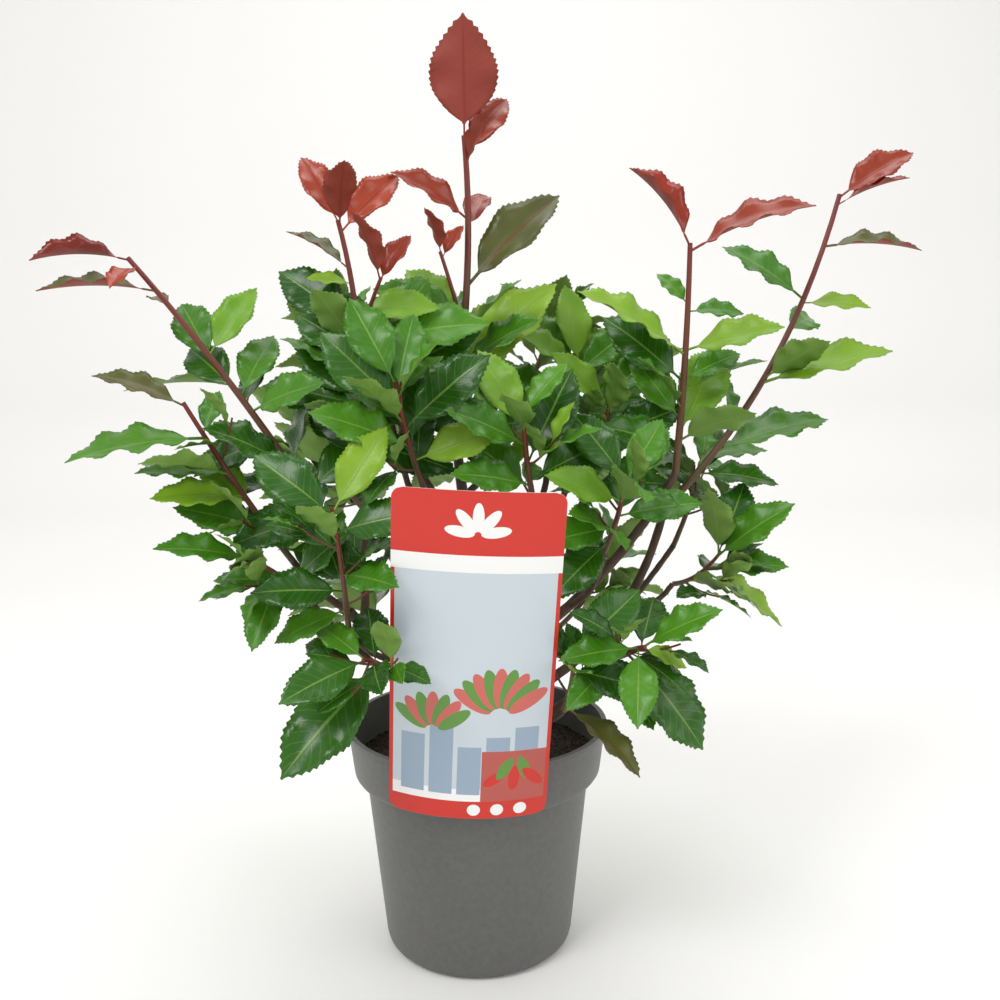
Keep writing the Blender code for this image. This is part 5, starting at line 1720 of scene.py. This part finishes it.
@dataclass
class Foliage:
    """Leaves of one tone, joined into pieces under the limit on triangles."""

    tone: Tone
    leaves: list[Leaf]
    variants: int = 3
    most: int = 140
    shade_spread: float = 0.6

    def _tree(self, name: str) -> GrowthTree:
        """Tree that sets a variant on each leaf's root, turned and sized as the leaf.

        Args:
            name: name of the piece.

        Returns:
            The tree.
        """
        grow = GrowthTree("spread " + name, {"Blades": "NodeSocketCollection"})
        blades = grow.add("GeometryNodeCollectionInfo", i0=grow.source["Blades"], i1=True, i2=True)
        spread = grow.add(
            "GeometryNodeInstanceOnPoints", Points=grow.source["Geometry"], Instance=blades.outputs[0],
            Pick_Instance=True, Instance_Index=grow.attribute("pick", "INT"),
            Rotation=grow.attribute("turn", "FLOAT_VECTOR"), Scale=grow.attribute("size", "FLOAT"),
        )
        grow.end(spread.outputs[0])
        return grow

    def _piece(self, name: str, grown: list[Leaf], finish: Material) -> Thing:
        """Spread blades on some leaves' roots.

        Args:
            name: name of the piece.
            grown: the leaves.
            finish: their material.

        Returns:
            The piece.
        """
        blade = LeafBlade()
        group = bpy.data.collections.new("blades " + name)
        for k in range(self.variants):
            seed = 31 * k + len(self.tone.value)
            group.objects.link(blade.make(TONES[self.tone], f"blade_{name}_{k}", seed))
        rng = random.Random(len(grown))
        host = host_of([tuple(leaf.root * MM) for leaf in grown], [], {
            "turn": ("FLOAT_VECTOR", [leaf.turn() for leaf in grown]),
            "size": ("FLOAT", [leaf.length * MM for leaf in grown]),
            "pick": ("INT", [rng.randrange(self.variants) for _ in grown]),
            "seed": ("FLOAT", [rng.random() * self.shade_spread for _ in grown]),
        })
        piece = self._tree(name).run(host, name, {"Blades": group, "Finish": finish})
        for thing in list(group.objects):
            bpy.data.objects.remove(thing)
        bpy.data.collections.remove(group)
        return piece

    def dress(self, nodes: list[str]) -> None:
        """Make the pieces and let them stand for the foliage masses' nodes.

        Args:
            nodes: the masses.
        """
        finish = LEAF_FINISHES[self.tone].build()
        for k in range(0, len(self.leaves), self.most):
            label = f"foliage_{self.tone.value}_{k // self.most}"
            settle(self._piece(label, self.leaves[k:k + self.most], finish), nodes)


@dataclass
class Branchwork:
    """Limbs swept round their own lines, thinning to their tips."""

    name: str
    limbs: list[Limb]
    sides: int
    rows: int

    def _tree(self) -> GrowthTree:
        """Tree that sweeps a ring along each line, as thick as the line's attribute says.

        Returns:
            The tree.
        """
        grow = GrowthTree("sweep " + self.name, {"Sides": "NodeSocketInt"})
        thick = grow.attribute("thick", "FLOAT")
        line = grow.add("GeometryNodeMeshToCurve", i0=grow.source["Geometry"])
        sized = grow.add("GeometryNodeSetCurveRadius", Curve=line.outputs[0], Radius=thick)
        ring = grow.add("GeometryNodeCurvePrimitiveCircle", {"mode": "RADIUS"},
                        Resolution=grow.source["Sides"], Radius=1.0)
        sweep = grow.add("GeometryNodeCurveToMesh", Curve=sized.outputs[0], Profile_Curve=ring.outputs[0],
                         Scale=thick, Fill_Caps=True)
        grow.end(sweep.outputs[0])
        return grow

    def build(self, finish: Material) -> Thing:
        """Sweep the limbs.

        Args:
            finish: their material.

        Returns:
            The piece.
        """
        points = []
        edges = []
        radii = []
        ages = []
        for limb in self.limbs:
            base = len(points)
            for row in range(self.rows + 1):
                share = row / self.rows
                points.append(tuple(limb.path.at(share) * MM))
                radii.append(limb.flared_radius(share) * MM)
                ages.append(share)
                if row:
                    edges.append((base + row - 1, base + row))
        host = host_of(points, edges, {"thick": ("FLOAT", radii), "age": ("FLOAT", ages)})
        piece = self._tree().run(host, self.name, {"Sides": self.sides, "Finish": finish})
        piece.data.shade_smooth()
        return piece


@dataclass
class Shrub:
    """The plant: its limbs, shoots and leaves, grown by the rule of its solids."""

    growth_seed: int = 19
    fine_seed: int = 47
    bark_depth: float = 0.00035
    bark_pitch: float = 420.0
    limbs: dict[str, Limb] = field(default_factory=dict)
    shoots: list[Shoot] = field(default_factory=list)

    def grow(self) -> None:
        """Grow limbs and shoots in the same order and with the same draws as the solids."""
        crown = Crown()
        for name in ("pot", "soil", "label"):
            crown.add_node(name)
        for name, plan in LIMBS.items():
            self.limbs[name] = self._limb(plan)
            crown.add_node(name)
        rng = random.Random(self.growth_seed)
        for name, mass in MASSES.items():
            shoot = Shoot(name, mass)
            shoot.branch(self.limbs[mass.limb], rng)
            self.shoots.append(shoot)
        for shoot in self.shoots:
            for stem in shoot.stems:
                crown.add(shoot.name, stem.tree, stem.vertices)
        for by_hand in (True, False):
            for shoot in self.shoots:
                shoot.grow(crown, rng, by_hand)
        rng = random.Random(self.fine_seed)
        for shoot in self.shoots:
            if shoot.name not in SPARSE:
                shoot.refine(crown, rng)

    def _limb(self, plan: LimbPlan) -> Limb:
        """Trunk from the compost, or a bough from its carrier.

        Args:
            plan: its row of the table.

        Returns:
            The limb.
        """
        if plan.carrier:
            start = self.limbs[plan.carrier].path.at(plan.share)
            return Limb(Path(start, plan.tip, plan.bend), plan.foot, plan.end, BOUGH_SIDES, STEM_SPANS)
        start = Vector((0.0, 0.0, SOIL_TOP + SEAT_GAP))
        path = Path(start, plan.tip, plan.bend)
        return Limb(path, plan.foot, plan.end, TRUNK_SIDES, TRUNK_SPANS, flare=ROOT_FLARE)

    def dress(self) -> None:
        """Make the leaves, twigs and bark, and let them stand for their solids."""
        masses = [shoot.name for shoot in self.shoots]
        for tone in TONES:
            grown = [leaf for shoot in self.shoots for leaf in shoot.leaves if leaf.tone is tone]
            if grown:
                Foliage(tone, grown).dress(masses)
                LOG.info("%s: %d leaves", tone.value, len(grown))
        stems = [stem for shoot in self.shoots for stem in shoot.stems]
        settle(Branchwork("twigs", stems, 10, 14).build(STEM_FINISH.build()), masses)
        wood = Branchwork("bark_wood", list(self.limbs.values()), 20, 36).build(BARK_FINISH.build())
        self._roughen(wood)
        settle(wood, list(self.limbs))

    def _roughen(self, wood: Thing) -> None:
        """Push the wood's points along their normals by a fixed noise, as bark relief.

        Args:
            wood: the swept wood.
        """
        mesh = wood.data
        pitch = self.bark_pitch
        moved = []
        for vertex in mesh.vertices:
            spot = Vector((vertex.co.x * pitch, vertex.co.y * pitch, vertex.co.z * pitch * 0.35))
            moved.append(vertex.co + vertex.normal * self.bark_depth * noise.fractal(spot, 0.8, 2.0, 3))
        mesh.vertices.foreach_set("co", np.array(moved, np.float32).ravel())
        mesh.update()


@dataclass
class Pot:
    """Moulded nursery pot, 190 mm across its rim and 165 mm high, open above."""

    sides: int = 144
    height: float = 165.0
    rim_radius: float = 95.0
    lip_depth: float = 3.0
    lip_slope: float = 1.4
    band_top_radius: float = 93.6
    band_low_radius: float = 90.4
    band_depth: float = 38.0
    band_round: float = 7.0
    shoulder_radius: float = 81.6
    foot_radius: float = 69.3
    foot_round: float = 8.0
    wall: float = 2.2
    floor: float = 3.0
    notches: int = 8
    notch_width: float = 15.0
    notch_height: float = 2.6
    notch_depth: float = 7.0

    def _profile(self) -> list[tuple[float, float]]:
        """Closed profile of (radius, height), up its outside and down its inside.

        Returns:
            The points.
        """
        shoulder = self.height - self.band_depth
        band = self.band_low_radius - self.band_round
        outer = [(0.0, 0.0)]
        outer += arc((self.foot_radius - self.foot_round, self.foot_round), self.foot_round, -90, 0, 3)
        outer.append((self.shoulder_radius, shoulder))
        outer += arc((band, shoulder + self.band_round), self.band_round, -90, 0, 4)
        outer.append((self.band_top_radius, self.height - self.lip_depth - self.lip_slope))
        outer.append((self.rim_radius, self.height - self.lip_depth))
        outer.append((self.rim_radius, self.height))
        inner = [
            (self.band_top_radius - self.wall, self.height),
            (self.band_low_radius - self.wall, shoulder + self.band_round),
            (self.shoulder_radius - self.wall, shoulder),
            (self.foot_radius - self.wall, self.foot_round + self.floor),
            (self.foot_radius - self.wall - self.foot_round, self.floor),
            (0.0, self.floor),
        ]
        return outer + inner

    def _notch(self, turn: float) -> Thing:
        """Cutter of one foot notch at a turn in degrees."""
        spot = compass(turn, 0) * (self.foot_radius - self.notch_depth + 20.0)
        return box("notch", spot, (40.0, self.notch_width, 2.0 * self.notch_height), turn)

    def dress(self) -> None:
        """Turn the pot, cut its foot notches and let it stand for its node."""
        pot = turned("pot_shell", self._profile(), self.sides)
        soften(pot, 40)
        cut(pot, [self._notch(360.0 * (k + 0.5) / self.notches) for k in range(self.notches)])
        soften(pot, 35)
        pot.data.materials.clear()
        pot.data.materials.append(POT_FINISH.build())
        settle(pot, ["pot"])


@dataclass
class Compost:
    """Peat in the pot: the node itself, strewn with crumbs."""

    density: float = 90000.0
    seed: int = 5
    smallest: tuple[float, float, float] = (0.0006, 0.0006, 0.0005)
    largest: tuple[float, float, float] = (0.0022, 0.0017, 0.0015)

    def _tree(self) -> GrowthTree:
        """Tree that strews ragged lumps over the faces that look up.

        Returns:
            The tree.
        """
        grow = GrowthTree("scatter peat_crumbs", {"Density": "NodeSocketFloat", "Seed": "NodeSocketInt"})
        normal = grow.add("GeometryNodeInputNormal")
        up = grow.add("ShaderNodeSeparateXYZ", i0=normal.outputs[0])
        level = grow.add("FunctionNodeCompare", {"data_type": "FLOAT", "operation": "GREATER_THAN"},
                         i0=up.outputs[2], i1=0.4)
        spread = grow.add("GeometryNodeDistributePointsOnFaces", Mesh=grow.source["Geometry"],
                          Selection=level.outputs[0], Density=grow.source["Density"],
                          Seed=grow.source["Seed"])
        lump = grow.add("GeometryNodeMeshIcoSphere", Radius=1.0, Subdivisions=2)
        ragged = grow.add("ShaderNodeTexNoise", Scale=1.7)
        push = grow.add("ShaderNodeVectorMath", {"operation": "SCALE"}, i0=ragged.outputs["Color"], i3=0.7)
        rough = grow.add("GeometryNodeSetPosition", Geometry=lump.outputs[0], Offset=push.outputs[0])
        size = grow.add("FunctionNodeRandomValue", {"data_type": "FLOAT_VECTOR"}, i0=self.smallest,
                        i1=self.largest)
        turn = grow.add("FunctionNodeRandomValue", {"data_type": "FLOAT_VECTOR"}, i0=(0.0, 0.0, 0.0),
                        i1=(3.0, 3.0, 6.0))
        placed = grow.add("GeometryNodeInstanceOnPoints", Points=spread.outputs[0],
                          Instance=rough.outputs[0], Rotation=turn.outputs[0], Scale=size.outputs[0])
        grow.end(placed.outputs[0])
        return grow

    def dress(self) -> None:
        """Give the node its peat and strew the crumbs."""
        peat = PEAT_FINISH.build()
        soil = frame["nodes"]["soil"]
        soil.data.materials.clear()
        soil.data.materials.append(peat)
        host = soil.copy()
        host.data = soil.data.copy()
        bpy.context.scene.collection.objects.link(host)
        values = {"Density": self.density, "Seed": self.seed, "Finish": peat}
        crumbs = self._tree().run(host, "peat_crumbs", values)
        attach(crumbs, "root")
        LOG.info("%s: %d faces", crumbs.name, len(crumbs.data.polygons))


@dataclass
class PlantLabel:
    """Bowed card that leans out over the rim and hooks on it with a tongue."""

    width: float = 103.0
    height: float = 223.0
    thick: float = 0.9
    corner: float = 7.0
    foot: tuple[float, float, float] = (-5.0, -94.9, 133.0)
    lean: float = 10.6
    tilt: float = 3.0
    bow_foot: float = 11.0
    bow_top: float = 4.0
    rows: int = 60
    columns: int = 32
    corner_rows: int = 6
    rim_height: float = 165.0
    tongue_width: float = 22.0
    tongue_thick: float = 1.0
    tongue_drop: float = 14.0
    tongue_inside: float = 88.0

    def _point(self, across: float, up: float, out: float) -> Vector:
        """Place on the bowed card.

        Args:
            across: millimetres from its middle line.
            up: millimetres from its foot.
            out: millimetres towards the viewer.

        Returns:
            The place, in millimetres.
        """
        bow = self.bow_foot + (self.bow_top - self.bow_foot) * (up / self.height)
        back = bow * (2.0 * across / self.width) ** 2
        turn = Matrix.Rotation(math.radians(self.lean), 3, "X")
        turn = turn @ Matrix.Rotation(math.radians(self.tilt), 3, "Y")
        return Vector(self.foot) + turn @ Vector((across, back - out, up))

    def _half_width(self, up: float) -> float:
        """Half the card's width at a height, narrowed round its corners.

        Args:
            up: millimetres from its foot.

        Returns:
            Half the width, in millimetres.
        """
        near = min(up, self.height - up)
        if near >= self.corner:
            return self.width / 2.0
        rise = self.corner - near
        return self.width / 2.0 - self.corner + math.sqrt(max(0.0, self.corner**2 - rise**2))

    def _heights(self) -> list[float]:
        """Heights of the card's rows, closer together round its corners.

        Returns:
            Millimetres from its foot.
        """
        even = [self.height * k / self.rows for k in range(self.rows + 1)]
        rounds = [self.corner * k / self.corner_rows for k in range(self.corner_rows + 1)]
        return sorted({*even, *rounds, *(self.height - r for r in rounds)})

    def _card(self) -> Thing:
        """Card as a thin closed sheet that knows its own place for the print.

        Returns:
            The card.
        """
        heights = self._heights()
        wide = self.columns + 1
        count = len(heights) * wide
        points = []
        marks = []
        for front in (1, 0):
            for up in heights:
                half = self._half_width(up)
                for i in range(wide):
                    out = self.thick if front else 0.0
                    points.append(self._point((2 * (i / self.columns) - 1) * half, up, out))
                    marks.append(((2 * i / self.columns - 1) * half, up, float(front)))
        faces = []
        rows = len(heights) - 1
        for j in range(rows):
            for i in range(self.columns):
                for side in (0, count):
                    a = side + j * wide + i
                    faces.append((a, a + 1, a + wide + 1, a + wide))
        for j in range(rows):
            for i in (0, self.columns):
                a = j * wide + i
                faces.append((a, a + wide, count + a + wide, count + a))
        for i in range(self.columns):
            for j in (0, rows):
                a = j * wide + i
                faces.append((a, a + 1, count + a + 1, count + a))
        card = new_object("label_card", points, faces)
        mark = card.data.attributes.new("print", "FLOAT_VECTOR", "POINT")
        mark.data.foreach_set("vector", np.array(marks, np.float32).ravel())
        soften(card, 40)
        return card

    def _tongue(self) -> Thing:
        """Tongue that leaves the card's back above the rim, lies over it and drops inside.

        Returns:
            The tongue.
        """
        foot = Vector(self.foot)
        over = self.rim_height + SEAT_GAP
        rise = over - foot.z
        inner = -self.tongue_inside
        back = foot.y - rise * math.tan(math.radians(self.lean)) - self.thick * 0.4
        top, low = over + self.tongue_thick, over - self.tongue_drop
        outline = [
            (back, over), (inner, over), (inner, low),
            (inner + self.tongue_thick, low), (inner + self.tongue_thick, top), (back, top),
        ]
        centre = foot.x + rise * math.tan(math.radians(self.tilt))
        points = []
        for side in (-0.5, 0.5):
            for y, z in outline:
                points.append((centre + side * self.tongue_width, y, z))
        n = len(outline)
        faces = [(k, (k + 1) % n, n + (k + 1) % n, n + k) for k in range(n)]
        faces += [(0, 1, 4, 5), (1, 2, 3, 4), (n, n + 5, n + 4, n + 1), (n + 1, n + 4, n + 3, n + 2)]
        return new_object("label_tongue", points, faces)

    def dress(self) -> None:
        """Make card and tongue and let them stand for the label's node."""
        card = self._card()
        card.data.materials.append(CARD_FINISH.build())
        settle(card, ["label"])
        tongue = self._tongue()
        tongue.data.materials.append(TONGUE_FINISH.build())
        settle(tongue, ["label"])


@dataclass
class Studio:
    """Pale floor that curves up behind, soft lights and the camera of the photograph.

    The floor's rows are (depth, height) in metres; a lamp is its place, size and power; the
    camera stands at eye, tipped down by tip and rolled by roll in degrees.
    """

    rows: tuple[tuple[float, float], ...] = (
        (-4.0, 0.0), (1.2, 0.0), (1.7, 0.06), (2.05, 0.3), (2.2, 0.8), (2.25, 4.0),
    )
    half_width: float = 5.0
    below: float = 0.0003
    daylight: float = 0.62
    eye: tuple[float, float, float] = (0.0183, -0.708, 0.427)
    tip: float = 8.0
    roll: float = -0.5
    lens: float = 36.0

    def _floor(self) -> None:
        """Stage the floor."""
        points = [(x, y, z - self.below) for y, z in self.rows for x in (-self.half_width, self.half_width)]
        faces = [(2 * k, 2 * k + 1, 2 * k + 3, 2 * k + 2) for k in range(len(self.rows) - 1)]
        mesh = bpy.data.meshes.new("floor")
        mesh.from_pydata(points, [], faces)
        mesh.shade_smooth()
        floor = bpy.data.objects.new("floor", mesh)
        bpy.context.scene.collection.objects.link(floor)
        material, _, shader = Finish("pale studio floor", 0.8).start()
        shader.inputs["Base Color"].default_value = linear(Colour.FLOOR)
        mesh.materials.append(material)

    def _daylight(self) -> None:
        """Even white light from all round."""
        world = bpy.data.worlds.new("studio")
        bpy.context.scene.world = world
        world.use_nodes = True
        sky = world.node_tree.nodes["Background"]
        sky.inputs["Color"].default_value = (1.0, 1.0, 1.0, 1.0)
        sky.inputs["Strength"].default_value = self.daylight

    @staticmethod
    def _lamp(name: str, spot: tuple[float, float, float], size: float, power: float) -> None:
        """Square soft lamp that looks at the plant.

        Args:
            name: its name.
            spot: its place in metres.
            size: its side in metres.
            power: its power in watts.
        """
        light = bpy.data.lights.new(name, "AREA")
        light.size = size
        light.energy = power
        lamp = bpy.data.objects.new(name, light)
        lamp.location = spot
        lamp.rotation_euler = (Vector((0.0, 0.0, 0.3)) - Vector(spot)).to_track_quat("-Z", "Y").to_euler()
        bpy.context.scene.collection.objects.link(lamp)

    def _camera(self) -> None:
        """Camera at the photograph's place and angle."""
        camera = bpy.data.cameras.new("camera")
        camera.sensor_width = 36.0
        camera.lens = self.lens
        camera.clip_start = 0.01
        eye = bpy.data.objects.new("camera", camera)
        eye.location = self.eye
        turn = Matrix.Rotation(math.radians(90.0 - self.tip), 3, "X")
        turn = turn @ Matrix.Rotation(math.radians(self.roll), 3, "Z")
        eye.rotation_euler = turn.to_euler()
        bpy.context.scene.collection.objects.link(eye)
        bpy.context.scene.camera = eye

    def build(self) -> None:
        """Floor, lights and camera."""
        bpy.context.scene.view_settings.view_transform = "Standard"
        self._floor()
        self._daylight()
        self._lamp("key", (-1.3, -1.5, 2.2), 1.2, 33.0)
        self._lamp("fill", (1.8, -1.2, 1.3), 1.6, 14.0)
        self._lamp("top", (0.2, 0.6, 2.6), 1.8, 22.0)
        self._camera()


def main() -> None:
    """Grow the shrub, dress it, its pot, compost and label, and light them."""
    logging.basicConfig(level=logging.INFO)
    shrub = Shrub()
    shrub.grow()
    shrub.dress()
    Pot().dress()
    Compost().dress()
    PlantLabel().dress()
    Studio().build()


if __name__ == "__main__":
    main()
